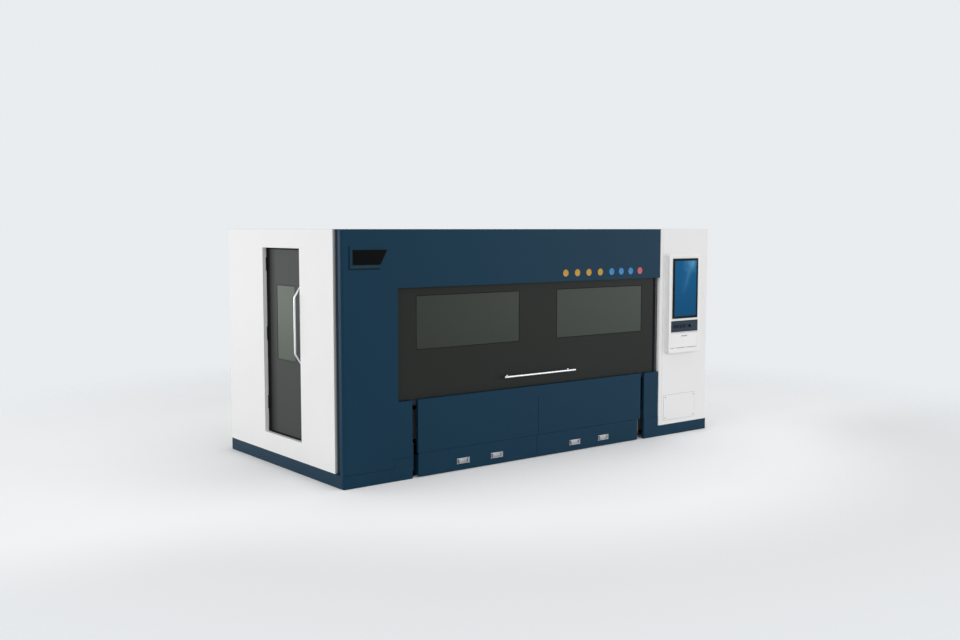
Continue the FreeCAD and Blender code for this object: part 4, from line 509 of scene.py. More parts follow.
def enamel(name, tint, rim):
    """Baked enamel dot with a paler rim colour speckled into it."""
    finish = Finish(name)
    spot = finish.place()
    speck = finish.fade(finish.noise(spot, 900.0), 0.6, 0.75, 0.0, 0.15)
    return finish.surface({
        "Base Color": finish.mix(speck, tint, rim),
        "Roughness": 0.3 + 0.1 * finish.noise(spot, 70.0, 3.0),
        "Normal": finish.bump(finish.noise(spot, 500.0), 0.00005, 0.3),
        "Specular IOR Level": 0.15,
    })


def make_finishes(scene):
    """Every finish of the machine, by its name."""
    paint, metal = scene.laser_paint, scene.laser_metal
    door, console = scene.laser_door, scene.laser_console
    navy, white, ground = paint.navy, paint.white, metal.ground
    table = {
        powder_coat: {  # tint, roughness, gloss, dust and painted shade as (axis, start, end, factor)
            "navy_coat": (navy, 0.46, 0.09, 0.008),
            # half-bright navy: painted shadow beside the badge
            "navy_shade": (shade(navy, 0.5), 0.46, 0.05),
            # paler navy: painted highlight on the strip below the badge
            "navy_ledge": ((0.012, 0.036, 0.050), 0.46, 0.09),
            "white_coat": (white, 0.50, 0.20, 0.05),
            # darker copies of the white paint: painted shade on the console and the column front
            "console_coat": (shade(white, 0.97), 0.42, 0.20),
            "column_coat": (shade(white, 0.95), 0.50, 0.20),
            # grey for joints, and painted shade in the finger lip
            "lip_coat": ((0.42, 0.42, 0.42), 0.5, 0.2),
            "charcoal_coat": (paint.charcoal, 0.48, 0.11),
            # painted shade darkens the leaf towards its hinge edge
            "side_door_coat": (paint.side_grey, 0.50, 0.08, 0.0, (1, 0.14, 0.30, 0.22)),
            "channel_coat": (paint.channel, 0.5, 0.10),
            # the pale groove wall gets painted shade deeper into the groove
            "groove_wall": ((0.66, 0.67, 0.68), 0.5, 0.1, 0.0, (0, -2.197, -2.166, 0.10)),
            # dark tube paint, also painted shade where it shows in the gap by the door
            "tube_coat": ((0.022, 0.028, 0.038), 0.55, 0.1),
            "frame_coat": ((0.16, 0.17, 0.185), 0.55, 0.3),
            "cabinet_coat": ((0.50, 0.51, 0.50), 0.52, 0.3),
            "gantry_coat": ((0.62, 0.63, 0.645), 0.40, 0.4),
            "carriage_coat": ((0.075, 0.083, 0.095), 0.40, 0.4),
            "motor_coat": ((0.011, 0.011, 0.012), 0.38, 0.4),
            "panel_coat": ((0.022, 0.038, 0.058), 0.45, 0.10),
            "hinge_plate": ((0.007, 0.007, 0.008), 0.5, 0.08),
        },
        brushed_metal: {  # tint, the scale of its grain along each axis, roughness
            "bar_aluminium": (metal.aluminium, (12.0, 1500.0, 1500.0), 0.26),
            "bow_aluminium": (metal.aluminium, (1500.0, 1500.0, 12.0), 0.30),
            "rail_steel": (ground, (9.0, 900.0, 900.0), 0.24),
            "cross_rail_steel": (ground, (900.0, 9.0, 900.0), 0.24),
            "upright_steel": (ground, (900.0, 900.0, 9.0), 0.26),
        },
        plated_metal: {
            "zinc_plate": (metal.zinc, 0.38),
            "dark_steel": ((0.085, 0.088, 0.095), 0.42),
            "dark_bolt": ((0.055, 0.055, 0.06), 0.40),
        },
        moulded_plastic: {  # tint, roughness, gloss, depth of its grain
            "gloss_black": ((0.0012, 0.0013, 0.0018), 0.30, 0.05, 0.00001),
            "bezel_plastic": ((0.004, 0.005, 0.007), 0.38, 0.05),
            "key_plastic": (console.key, 0.40, 0.08),
            "cap_plastic": ((0.018, 0.019, 0.021), 0.45),
            "mark_plastic": ((0.60, 0.61, 0.62), 0.45),
        },
        # side_bead is the same rubber drawn paler: painted light on the lit side
        rubber: {"rubber": (), "front_bead": (0.011, 0.021), "side_bead": (0.035, 0.055)},
        galvanised_sheet: {"galvanised": ((0.46, 0.47, 0.48),)},
        burnt_slat: {"burnt_slat": ((0.24, 0.235, 0.23),)},
        anodised: {"head_anodised": ((0.50, 0.51, 0.53),)},
        polished_copper: {"nozzle_copper": (metal.copper,)},
        tinted_pane: {  # tint, then the foot, top, west and east of its painted reflection
            "front_pane": (door.pane, 1.08, 1.55, -1.46, 1.24),
            "side_pane": (door.side_pane, 0.95, 1.61, -2.3, -2.0),
        },
        lit_screen: {"screen": (console.screen, console.painted_screen_highlight, *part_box("screen_glass"))},
        enamel: {
            "amber_enamel": ((0.46, 0.26, 0.030), (0.7, 0.42, 0.12)),
            "blue_enamel": ((0.035, 0.20, 0.46), (0.2, 0.4, 0.7)),
            "red_enamel": ((0.50, 0.09, 0.11), (0.75, 0.5, 0.5)),
        },
    }
    return {name: maker(name, *values)
            for maker, rows in table.items() for name, values in rows.items()}


FINISHES = {}


# ---------------------------------------------------------------- modelling, in millimetres

LEFT, FRONT, UP = Vector((-1, 0, 0)), Vector((0, -1, 0)), Vector((0, 0, 1))
WAYS = {"x": -LEFT, "y": -FRONT, "z": UP}
TURNS = {  # that lay an upright rod along each axis
    "x": (0.0, math.pi / 2, 0.0),
    "y": (-math.pi / 2, 0.0, 0.0),
    "z": (0.0, 0.0, 0.0),
}


def span(node):
    """The low and high corners of a node."""
    return [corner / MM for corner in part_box(node)]


def facing(way, axis=None, middle=0.0, reach=0.0):
    """Picks the faces that look one way and lie, where asked, near a middle along an axis."""
    way = Vector(way)
    return lambda spot, normal: normal.dot(way) > 0.9 and (
        axis is None or abs(spot["xyz".index(axis)] - middle) < reach)


def both_ends(axis):
    """Picks the faces that look up or down an axis."""
    return lambda spot, normal: abs(normal.dot(WAYS[axis])) > 0.9


def every_other(axis, step):
    """Picks the side faces of a rod in every other step of its turn, in degrees."""
    first, second = [side for side in range(3) if not WAYS[axis][side]]
    return lambda spot, normal: abs(normal.dot(WAYS[axis])) < 0.1 and int(
        math.degrees(math.atan2(normal[second], normal[first])) // step) % 2


def clear():
    """Leave edit mode and drop every selection."""
    if bpy.context.mode != "OBJECT":
        bpy.ops.object.mode_set(mode="OBJECT")
    bpy.ops.object.select_all(action="DESELECT")


def take(*objects):
    """Select these objects alone; the first is the active one."""
    clear()
    for obj in objects:
        obj.select_set(True)
    bpy.context.view_layer.objects.active = objects[0]


def settle(obj, name):
    """Move an object's place into its mesh and name it."""
    take(obj)
    bpy.ops.object.transform_apply(location=True, rotation=True, scale=True)
    obj.name = obj.data.name = name
    return obj


def start_block(name, low, high):
    """A box between two corners, to be shaped further."""
    low, high = Vector(low) * MM, Vector(high) * MM
    clear()
    bpy.ops.mesh.primitive_cube_add(size=1.0, location=(low + high) / 2)
    obj = bpy.context.object
    obj.scale = high - low
    return settle(obj, name)


def start_rod(name, base, radius, reach, axis, sides=32, end_radius=None):
    """A round bar or a cone from the middle of its base, to be shaped further."""
    middle = (Vector(base) + WAYS[axis] * (reach / 2)) * MM
    clear()
    bpy.ops.mesh.primitive_cone_add(
        vertices=sides, radius1=radius * MM,
        radius2=(radius if end_radius is None else end_radius) * MM,
        depth=reach * MM, location=middle, rotation=TURNS[axis])
    return settle(bpy.context.object, name)


def edit(obj, kind, chosen, operator, **settings):
    """Select the chosen faces or corners alone, then run an edit mode operator."""
    take(obj)
    bpy.ops.object.mode_set(mode="EDIT")
    bpy.ops.mesh.select_mode(type=kind)
    bpy.ops.mesh.select_all(action="DESELECT")
    bpy.ops.object.mode_set(mode="OBJECT")
    for item in obj.data.polygons if kind == "FACE" else obj.data.vertices:
        item.select = bool(chosen(item))
    bpy.ops.object.mode_set(mode="EDIT")
    operator(**settings)
    bpy.ops.object.mode_set(mode="OBJECT")
    return obj


def edit_faces(obj, picks, operator, **settings):
    """Run an edit mode operator on the faces picked by their middle and normal."""
    return edit(obj, "FACE", lambda face: picks(face.center / MM, face.normal),
                operator, **settings)


def inset(obj, picks, rim, rise=0.0):
    """Inset the picked faces by a rim and raise, or sink, what is inside it."""
    return edit_faces(
        obj, picks, bpy.ops.mesh.inset, thickness=rim * MM, depth=rise * MM,
        use_even_offset=True)


def modify(obj, kind, **settings):
    """Add a modifier, set it up and apply it."""
    take(obj)
    modifier = obj.modifiers.new(kind.lower(), kind)
    for key, value in settings.items():
        setattr(modifier, key, value)
    bpy.ops.object.modifier_apply(modifier=modifier.name)
    return obj


def soften(obj, edge, segments=2):
    """Round the sharp edges and keep the flats flat."""
    take(obj)
    bpy.ops.object.shade_smooth_by_angle(angle=SHARP_ANGLE)
    return modify(
        obj, "BEVEL", width=edge * MM, segments=segments, limit_method="ANGLE",
        angle_limit=SHARP_ANGLE, harden_normals=True)


def cut_away(obj, tool):
    """Take a tool's shape out of an object."""
    modify(obj, "BOOLEAN", object=tool, operation="DIFFERENCE", solver="EXACT")
    bpy.data.objects.remove(tool)
    return obj


def join(name, pieces):
    """Make one object of several."""
    take(*pieces)
    bpy.ops.object.join()
    return settle(pieces[0], name)


def spread(obj, moves):
    """Copies of an object, each with its own mesh and moved, in its stead."""
    made = []
    for count, move in enumerate(moves, start=1):
        take(obj)
        bpy.ops.object.duplicate(linked=False)
        twin = bpy.context.object
        twin.location = Vector(move) * MM
        made.append(settle(twin, "%s_%d" % (obj.name, count)))
    bpy.data.objects.remove(obj)
    return made


def in_row(obj, count, step):
    """Repeat an object in a row by an applied array."""
    return modify(
        obj, "ARRAY", count=count, use_relative_offset=False, use_constant_offset=True,
        constant_offset_displace=Vector(step) * MM)


def slab(name, low, high, rim, rise=0.0, edge=0.2, segments=2, way=FRONT, dish=None):
    """A block with an inset rim on one side and rounded edges.

    A dish is the axis, middle and reach that pick the inside of the rim, then the second
    rim and rise made there.
    """
    block = inset(start_block(name, low, high), facing(way), rim, rise)
    if dish:
        axis, middle, reach, rim, rise = dish
        inset(block, facing(way, axis, middle, reach), rim, rise)
    return soften(block, edge, segments)


def bent_bar(name, points, radius, bend, sides, steps):
    """A round bar drawn along straight runs and spun round its bends."""
    points = [Vector(point) * MM for point in points]
    bend *= MM
    way = (points[1] - points[0]).normalized()
    clear()
    bpy.ops.mesh.primitive_circle_add(
        vertices=sides, radius=radius * MM, fill_type="NOTHING", location=points[0],
        rotation=way.to_track_quat("Z", "Y").to_euler())
    obj = settle(bpy.context.object, name)
    bpy.ops.object.mode_set(mode="EDIT")
    bpy.ops.mesh.select_mode(type="EDGE")
    bpy.ops.mesh.select_all(action="SELECT")
    reached = points[0]
    for before, corner, after in zip(points, points[1:], points[2:]):
        way_in = (corner - before).normalized()
        way_out = (after - corner).normalized()
        turn = way_in.angle(way_out)
        back_off = bend * math.tan(turn / 2)
        start = corner - way_in * back_off
        bpy.ops.mesh.extrude_region_move(TRANSFORM_OT_translate={"value": start - reached})
        axis = way_in.cross(way_out).normalized()
        bpy.ops.mesh.spin(
            steps=steps, angle=-turn, center=start + axis.cross(way_in) * bend, axis=axis)
        reached = corner + way_out * back_off
    bpy.ops.mesh.extrude_region_move(TRANSFORM_OT_translate={"value": points[-1] - reached})
    bpy.ops.mesh.select_all(action="SELECT")
    bpy.ops.mesh.remove_doubles(threshold=MERGE_REACH)
    bpy.ops.mesh.fill_holes(sides=0)
    bpy.ops.mesh.normals_make_consistent(inside=False)
    bpy.ops.object.mode_set(mode="OBJECT")
    return obj


def bead_frame(name, low, high, axis, width):
    """A flat frame of rubber bead round an opening seen along X or Y."""
    ends, inside = both_ends(axis), width * 0.9
    bead = inset(start_block(name, low, high), ends, width)
    inner = lambda spot, normal: ends(spot, normal) and all(
        low[side] + inside < spot[side] < high[side] - inside
        for side in range(3) if not WAYS[axis][side])
    edit_faces(bead, inner, bpy.ops.mesh.bridge_edge_loops)
    return soften(bead, width * 0.1)


def screw_head(name, centre, radius, rise, way):
    """Domed screw with a socket; its head grows from centre along way."""
    axis = next(axis for axis in WAYS if way.dot(WAYS[axis]))
    centre = Vector(centre)
    base = centre if way.dot(WAYS[axis]) > 0 else centre + way * rise
    head = start_rod(name, base, radius, rise, axis, 20)
    top = facing(way)
    inset(head, top, radius * 0.45)
    socket = lambda spot, normal: top(spot, normal) and (
        spot - centre - way * rise).length < radius * 0.4
    inset(head, socket, radius * 0.12, -rise * 0.6)
    return soften(head, radius * 0.12)


def rack(low, high, side, module):
    """A rack along X on one side of the middle; its teeth look away from the middle."""
    (start, near, foot), (end, face, top) = low, high
    pitch, depth = math.pi * module, 1.25 * module
    root = face - depth

    def block(name, west, east, inner, outer):
        ends = sorted((inner * side, outer * side))
        return start_block(name, (west, ends[0], foot), (east, ends[1], top))

    bar = soften(block("rack", start, end, near, root), 0.5)
    west, east = start + pitch * 0.5, start + pitch * 1.22
    tooth = block("rack_tooth", west, east, root, face)
    middle = Vector((west + east, (root + face) * side, foot + top)) / 2 * MM
    edit_faces(tooth, facing(-FRONT * side), bpy.ops.transform.resize,
               value=(0.42, 1.0, 1.0), center_override=middle)
    count = int((end - start - pitch) / pitch)
    return join("rack", [bar, in_row(tooth, count, (pitch, 0, 0))])


def gear(name, centre, tip, root, width, teeth):
    """A spur gear on an upright axis: a many-sided disc with its gaps drawn in."""
    sides, middle = teeth * 4, Vector(centre)  # four sides to a tooth, two of them its gap
    wheel = start_rod(name, centre, tip, width, "z", sides)

    def in_gap(point):
        x, y, _ = point.co / MM - middle
        return round(math.degrees(math.atan2(y, x)) % 360.0 * sides / 360.0) % 4 in (2, 3)

    edit(wheel, "VERT", in_gap, bpy.ops.transform.resize,
         value=(root / tip, root / tip, 1.0), center_override=middle * MM)
    return soften(wheel, 0.25, 1)


def servo(low, high, rib_count):
    """A square servo motor: flange, ribbed body, encoder cap and plug."""
    low, high = Vector(low), Vector(high)
    middle, shoulder = ((low + high) / 2).xy, high.z - 28.0

    def block(name, rim, foot, top):
        return start_block(name, (low.x + rim, low.y + rim, foot),
                           (high.x - rim, high.y - rim, top))

    flange = block("flange", 0.0, low.z, low.z + 9.0)
    body = block("body", 2.5, low.z + 9.0, shoulder)
    cap = block("cap", 5.0, shoulder, high.z)
    inset(cap, facing(UP), 7.0)
    inset(cap, lambda spot, normal: normal.z > 0.9 and (spot.xy - middle).length < 3.0,
          1.2, -1.2)
    rib = block("rib", 0.6, low.z + 13.0, low.z + 15.5)
    pitch = (high.z - low.z - 46.0) / rib_count
    return [soften(flange, 1.0), soften(body, 3.0, 3), soften(cap, 3.0, 3),
            in_row(soften(rib, 1.0), rib_count, (0, 0, pitch))]


def place(obj, body, finish, slot, *nodes):
    """Give a piece its finish and its body, and hide the nodes it stands for. The slot is not used.
    """
    obj.data.materials.clear()
    obj.data.materials.append(FINISHES[finish])
    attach(obj, body)
    if nodes:
        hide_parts(*nodes)


def merge_solids(obj):
    """Merge the corners of each solid by themselves, so that solids that touch stay apart.

    The faces come solid after solid, and a solid is over when none of its edges is open.
    """
    spots = [tuple(round(part / MERGE_REACH) for part in point.co)
             for point in obj.data.vertices]
    solids, open_edges = 0, set()
    for face in obj.data.polygons:
        face.material_index = solids
        corners = [spots[corner] for corner in face.vertices]
        for ends in zip(corners, corners[1:] + corners[:1]):
            open_edges ^= {frozenset(ends)}
        solids += not open_edges
    for solid in range(solids + 1):
        edit(obj, "FACE", lambda face: face.material_index == solid,
             bpy.ops.mesh.remove_doubles, threshold=MERGE_REACH)


def dress(node, finish, edge=None, regions=(), segments=2):
    """A copy of a node's shape with merged faces, rounded edges and its finish.

    Regions are pairs of another finish and what picks its faces.
    """
    source = frame["nodes"][node]
    obj = bpy.data.objects.new(node + "_dressed", source.data.copy())
    bpy.context.scene.collection.objects.link(obj)
    obj.data.materials.clear()
    for name in [finish] + [name for name, _ in regions]:
        obj.data.materials.append(FINISHES[name])
    merge_solids(obj)
    edit(obj, "FACE", lambda face: True, bpy.ops.mesh.dissolve_limited, angle_limit=FLAT_ANGLE)
    for face in obj.data.polygons:
        face.material_index = 0
        for index, (_, picks) in enumerate(regions, start=1):
            if picks(face.center / MM, face.normal):
                face.material_index = index
    if edge is None:
        edge = bpy.context.scene.laser_paint.edge_round / MM
    soften(obj, edge, segments)
    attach(obj, source["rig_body"])
    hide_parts(node)


# ---------------------------------------------------------------- operators

class MachineOperator(bpy.types.Operator):
    """Shared options of the machine's operators"""

    bl_options = {"REGISTER", "UNDO"}


class MACHINE_OT_finishes(MachineOperator):
    """Make every paint, metal, plastic and glass finish"""

    bl_idname = "machine.finishes"
    bl_label = "Finishes"

    def execute(self, context):
        FINISHES.clear()
        FINISHES.update(make_finishes(context.scene))
        return {"FINISHED"}


class MACHINE_OT_studio(MachineOperator):
    """Pale floor, soft lamps, backdrop and camera"""

    bl_idname = "machine.studio"
    bl_label = "Studio"

    camera_spot = (-6.512, -8.379, 2.099)  # metres
    camera_turn = (85.12, 0.0, -37.84)  # degrees
    film_width = 36.0  # millimetres
    lamps = {  # place, what it looks at, width and height, in metres
        "left_lamp": ((-9.5, -2.5, 4.6), (-2.2, 0.0, 1.0), 6.0, 5.0),
        "rear_lamp": ((-7.8, 8.0, 1.6), (-2.2, 0.5, 0.8), 8.0, 3.2),
        "front_lamp": ((-1.5, -9.5, 5.5), (0.0, -1.0, 1.0), 6.0, 3.5),
        "right_lamp": ((8.0, -8.2, 2.3), (1.0, -1.0, 1.2), 6.0, 4.5),
        "top_lamp": ((0.5, -1.0, 7.5), (0.0, 0.0, 0.0), 7.0, 5.0),
    }

    def execute(self, context):
        settings = context.scene.laser_studio
        context.scene.view_settings.view_transform = "Standard"
        self.make_camera(context, settings)
        self.make_sky(context, settings)
        self.make_lamps(context, settings)
        self.make_floor(context, settings)
        return {"FINISHED"}

    def make_camera(self, context, settings):
        clear()
        bpy.ops.object.camera_add(
            location=self.camera_spot,
            rotation=[math.radians(angle) for angle in self.camera_turn])
        camera = context.object
        camera.name = "studio_camera"
        camera.data.lens = settings.lens
        camera.data.sensor_width = self.film_width
        context.scene.camera = camera

    def make_sky(self, context, settings):
        world = bpy.data.worlds.new("studio_sky")
        world.use_nodes = True
        context.scene.world = world
        sky = Finish("studio_sky", world.node_tree)
        lamp, shown = (
            sky.value(sky.node("ShaderNodeBackground", {"Color": tint, "Strength": level}))
            for tint, level in (((1.0, 1.0, 1.0), settings.sky), (settings.backdrop, 1.0)))
        mixed = sky.node("ShaderNodeMixShader", {0: sky.seen(), 1: lamp, 2: shown})
        sky.node("ShaderNodeOutputWorld", {"Surface": sky.value(mixed)})

    def make_lamps(self, context, settings):
        for name, (spot, target, wide, tall) in self.lamps.items():
            way = Vector(target) - Vector(spot)
            clear()
            bpy.ops.object.light_add(
                type="AREA", location=spot, rotation=way.to_track_quat("-Z", "Y").to_euler())
            lamp = context.object
            lamp.name = name
            lamp.data.shape = "RECTANGLE"
            lamp.data.size, lamp.data.size_y = wide, tall
            lamp.data.energy = getattr(settings, name)

    def make_floor(self, context, settings):
        """Round floor that fades into the backdrop, with painted shade that makes it duller in the
        foreground.
        """
        reach, tint = settings.floor_radius, settings.floor
        clear()
        bpy.ops.mesh.primitive_circle_add(
            vertices=96, radius=reach * 1.05, fill_type="NGON", location=(0.0, 0.0, -0.5 * MM))
        floor = settle(context.object, "studio_floor")
        finish = Finish("studio_floor")
        along, across, _ = finish.split(finish.place())
        radius = (along * along + across * across) ** 0.5
        gone = finish.fade(radius, reach * 0.36, reach) * finish.seen()
        near = finish.shades(finish.noise(finish.place(), 1.2, 3.0), tint, 0.99, 1.01)
        # painted shade: the floor darkens in front of the machine, as if the light fell off there
        foreground = finish.fade(radius, 2.8, 4.6) * finish.fade(across, -0.8, -2.4)
        paint = finish.node("ShaderNodeBsdfPrincipled", {
            "Base Color": finish.mix(foreground, near, shade(tint, 0.79)),
            "Roughness": 0.7, "Specular IOR Level": 0.15})
        clear_air = finish.node("ShaderNodeBsdfTransparent")
        mixed = finish.node("ShaderNodeMixShader", {
            0: gone, 1: finish.value(paint), 2: finish.value(clear_air)})
        floor.data.materials.append(finish.output(finish.value(mixed)))


class MACHINE_OT_blue_panels(MachineOperator):
    """Blue portal, plinth, apron and short pillar"""

    bl_idname = "machine.blue_panels"
    bl_label = "Blue panels"

    def execute(self, context):
        for node in ("front_portal", "lower_front_panels", "base_plinth"):
            dress(node, "navy_coat")
        # The groove's front wall is pale paint with painted shade deeper in.
        dress("corner_groove_channel", "channel_coat", None, [("groove_wall", facing(FRONT))])
        face = span("front_portal")[0].y
        self.make_seams(face)
        self.make_discs(face)
        return {"FINISHED"}

    def make_seams(self, face):
        """Fine joint along the pillar's foot, stepping up beside the drawers."""
        seams = [
            slab("seam", (west, face - 0.3, foot), (east, face + 0.2, top), 0.6, 0.0, 0.1, 1)
            for west, east, foot, top in (  # along the foot, up, then on above the drawers
                (-2192.0, -1706.0, 108.5, 111.5),
                (-1709.0, -1706.0, 111.5, 188.5),
                (-1709.0, -1546.0, 188.5, 191.5))]
        place(join("pillar_seams", seams), "frame", "rubber", "navy_paint")

    def make_discs(self, face):
        """Eight plain enamel discs in a row above the door."""
        height, radius, thick, rim = 1690.0, 33.0, 0.8, 3.0
        disc = start_rod("plain_disc", (0.0, face - thick, height), radius, thick, "y", 40)
        inset(disc, facing(FRONT), rim)
        inset(disc, facing(FRONT, "x", 0.0, 1.0), 0.6, -0.15)
        soften(disc, 0.1)
        tints = ["amber"] * 4 + ["blue"] * 3 + ["red"]
        moves = [(x, 0, 0) for x in (199, 347, 495, 644, 797, 926, 1056, 1185)]
        for tint, twin in zip(tints, spread(disc, moves)):
            place(twin, "frame", tint + "_enamel", "badge_black")


class MACHINE_OT_white_panels(MachineOperator):
    """White side, rear, roof and column sheets with the access cover"""

    bl_idname = "machine.white_panels"
    bl_label = "White panels"

    def execute(self, context):
        for node in ("left_side_panel", "rear_panels", "roof_panel", "column_side_panels"):
            dress(node, "white_coat")
        dress("column_front", "column_coat")
        self.make_cover()
        return {"FINISHED"}

    def make_cover(self):
        """Flush cover near the column's foot, its gasket, the seam by it and four screws."""
        low, high = span("column_access_cover")
        face = low.y + 2.0
        cover = slab("access_cover", (low.x, face, low.z), high, 6.0, edge=0.7)
        place(cover, "frame", "column_coat", "white_paint", "column_access_cover")
        gasket = bead_frame(
            "cover_gasket", (low.x - 3.0, face + 1.4, low.z - 3.0),
            (high.x + 3.0, high.y, high.z + 3.0), "y", 4.0)
        place(gasket, "frame", "lip_coat", "white_paint")
        foot, top = span("column_front")
        seam = slab(
            "column_seam", (foot.x + 46.0, foot.y - 0.3, foot.z + 2.0),
            (foot.x + 49.0, foot.y + 0.2, top.z - 2.0), 0.5, 0.0, 0.1, 1)
        place(seam, "frame", "cabinet_coat", "white_paint")
        wide, tall = high.x - low.x, high.z - low.z
        screw = screw_head(
            "cover_screw", (low.x + wide / 20, face, low.z + tall / 12), 5.0, 2.0, FRONT)
        screws = spread(screw, [(x, 0, z) for z in (0, tall * 5 / 6) for x in (0, wide * 0.9)])
        place(join("cover_screws", screws), "frame", "dark_bolt", "hinge_steel")


class MACHINE_OT_front_door(MachineOperator):
    """Lifting door with its two panes, beads and bar handle"""

    bl_idname = "machine.front_door"
    bl_label = "Lifting door"

    def execute(self, context):
        settings = context.scene.laser_door
        dress("front_door_leaf", "charcoal_coat")
        dress("front_door_windows", "front_pane", 0.8)
        shoes = lambda spot, normal: spot.y < -969.0
        dress("front_door_runners", "dark_steel", 0.8, [("bezel_plastic", shoes)])
        self.make_beads(settings.bead_width / MM)
        self.make_bar(settings.bar_radius / MM)
        return {"FINISHED"}

    def make_beads(self, width):
        """A bead round each pane and a black seal along the leaf's east edge, partly a real seal,
        partly painted shadow in the gap by the column.
        """
        low, high = span("front_door_windows")
        foot, top = span("front_door_leaf")
        pane = 1130.0
        beads = [
            bead_frame("window_bead", (west - 2.0, foot.y - 0.9, low.z - 2.5),
                       (west + pane + 2.0, low.y + 0.2, high.z + 2.5), "y", width)
            for west in (low.x - 0.5, high.x + 0.5 - pane)]
        place(join("front_window_beads", beads), "front_door", "front_bead", "door_charcoal")
        seal = slab("leaf_edge_seal", (top.x - 39.0, foot.y - 0.8, foot.z),
                    (top.x - 1.0, foot.y, top.z), 2.5, -0.2, segments=1)
        place(seal, "front_door", "rubber", "door_charcoal")

    def make_bar(self, radius):
        """Round bar on two turned posts with seat rings."""
        low, high = span("front_door_handle")
        y, z = low.y + radius, (low.z + high.z) / 2
        bar = start_rod("bar", (low.x, y, z), radius, high.x - low.x, "x", 40)
        ends = both_ends("x")
        inset(bar, ends, 2.5)
        inset(bar, lambda spot, normal: ends(spot, normal) and (
            spot.yz - Vector((y, z))).length < 1.0, 0.8, -0.6)
        parts = [soften(bar, 1.2, 3)]
        for x in (low.x + 60.0, high.x - 60.0):
            post = start_rod("post", (x, y + 4.0, z), 7.0, high.y - y - 4.0, "y")
            seat = start_rod("seat", (x, high.y - 2.5, z), 12.0, 2.5, "y", 36)
            inset(seat, facing(FRONT), 3.0, 0.6)
            parts += [soften(post, 0.5), soften(seat, 0.5)]
        place(join("front_bar_handle", parts), "front_door", "bar_aluminium",
              "handle_aluminium", "front_door_handle")


class MACHINE_OT_side_door(MachineOperator):
    """Hinged service door with its pane, bead, bow handle and hinges"""

    bl_idname = "machine.side_door"
    bl_label = "Service door"

    def execute(self, context):
        settings = context.scene.laser_door
        knuckles = lambda spot, normal: spot.x < -2158.5
        dress("side_door_leaf", "side_door_coat", None, [("hinge_plate", knuckles)])
        dress("side_door_window", "side_pane", 0.8)
        dress("side_door_hinges", "hinge_plate", 0.5)
        self.make_bead(settings.bead_width / MM)
        self.make_bow(settings.bow_radius / MM, settings.bow_bend / MM)
        self.make_seal_and_shadow()
        return {"FINISHED"}

    def make_seal_and_shadow(self):
        """Black seal along the leaf's hinge edge, its top and its foot; partly a real seal, partly
        painted shadow.
        """
        low, high = span("side_door_leaf")
        face, front, hinge = -2158.0, -341.0, high.y - 52.0
        strips = [
            slab("seal", (face - 0.9, *start), (face, *end), 2.5, -0.3, 0.25, 1, LEFT)
            for start, end in (
                ((hinge, low.z), (high.y, high.z)),
                ((front, high.z - 12.0), (hinge, high.z)),
                ((front, low.z), (hinge, low.z + 14.0)))]
        place(join("side_door_seal", strips), "side_door", "rubber", "side_door_grey")

    def make_bead(self, width):
        """The bead round the pane."""
        low, high = span("side_door_window")
        bead = bead_frame(
            "side_window_bead", (low.x - 2.0, low.y - 2.5, low.z - 2.5),
            (low.x + 0.2, high.y + 2.5, high.z + 2.5), "x", width)
        place(bead, "side_door", "side_bead", "side_door_grey")

    def make_bow(self, radius, bend):
        """Bow of round bar: two slanting ends and a straight grip."""
        low, high = span("side_door_handle")
        across, face, far = (low.y + high.y) / 2, high.x, low.x + radius + 0.01
        foot, head, slant = 940.0, 1620.0, 98.0
        points = [(x, across, z) for x, z in (
            (face, foot), (far, foot + slant), (far, head - slant), (face, head))]
        bow = bent_bar("bow", points, radius, bend, 32, 8)
        cut_away(bow, start_block(
            "flush", (face, across - 40, foot - 60), (face + 60, across + 40, head + 60)))
        parts = [soften(bow, 0.5)]
        for z in (foot + 4.0, head - 4.0):
            seat = start_rod("seat", (face - 2.0, across, z), 15.0, 2.0, "x", 36)
            inset(seat, facing(LEFT), 2.0, 0.4)
            parts.append(soften(seat, 0.4))
        place(join("side_bow_handle", parts), "side_door", "bow_aluminium",
              "handle_aluminium", "side_door_handle")


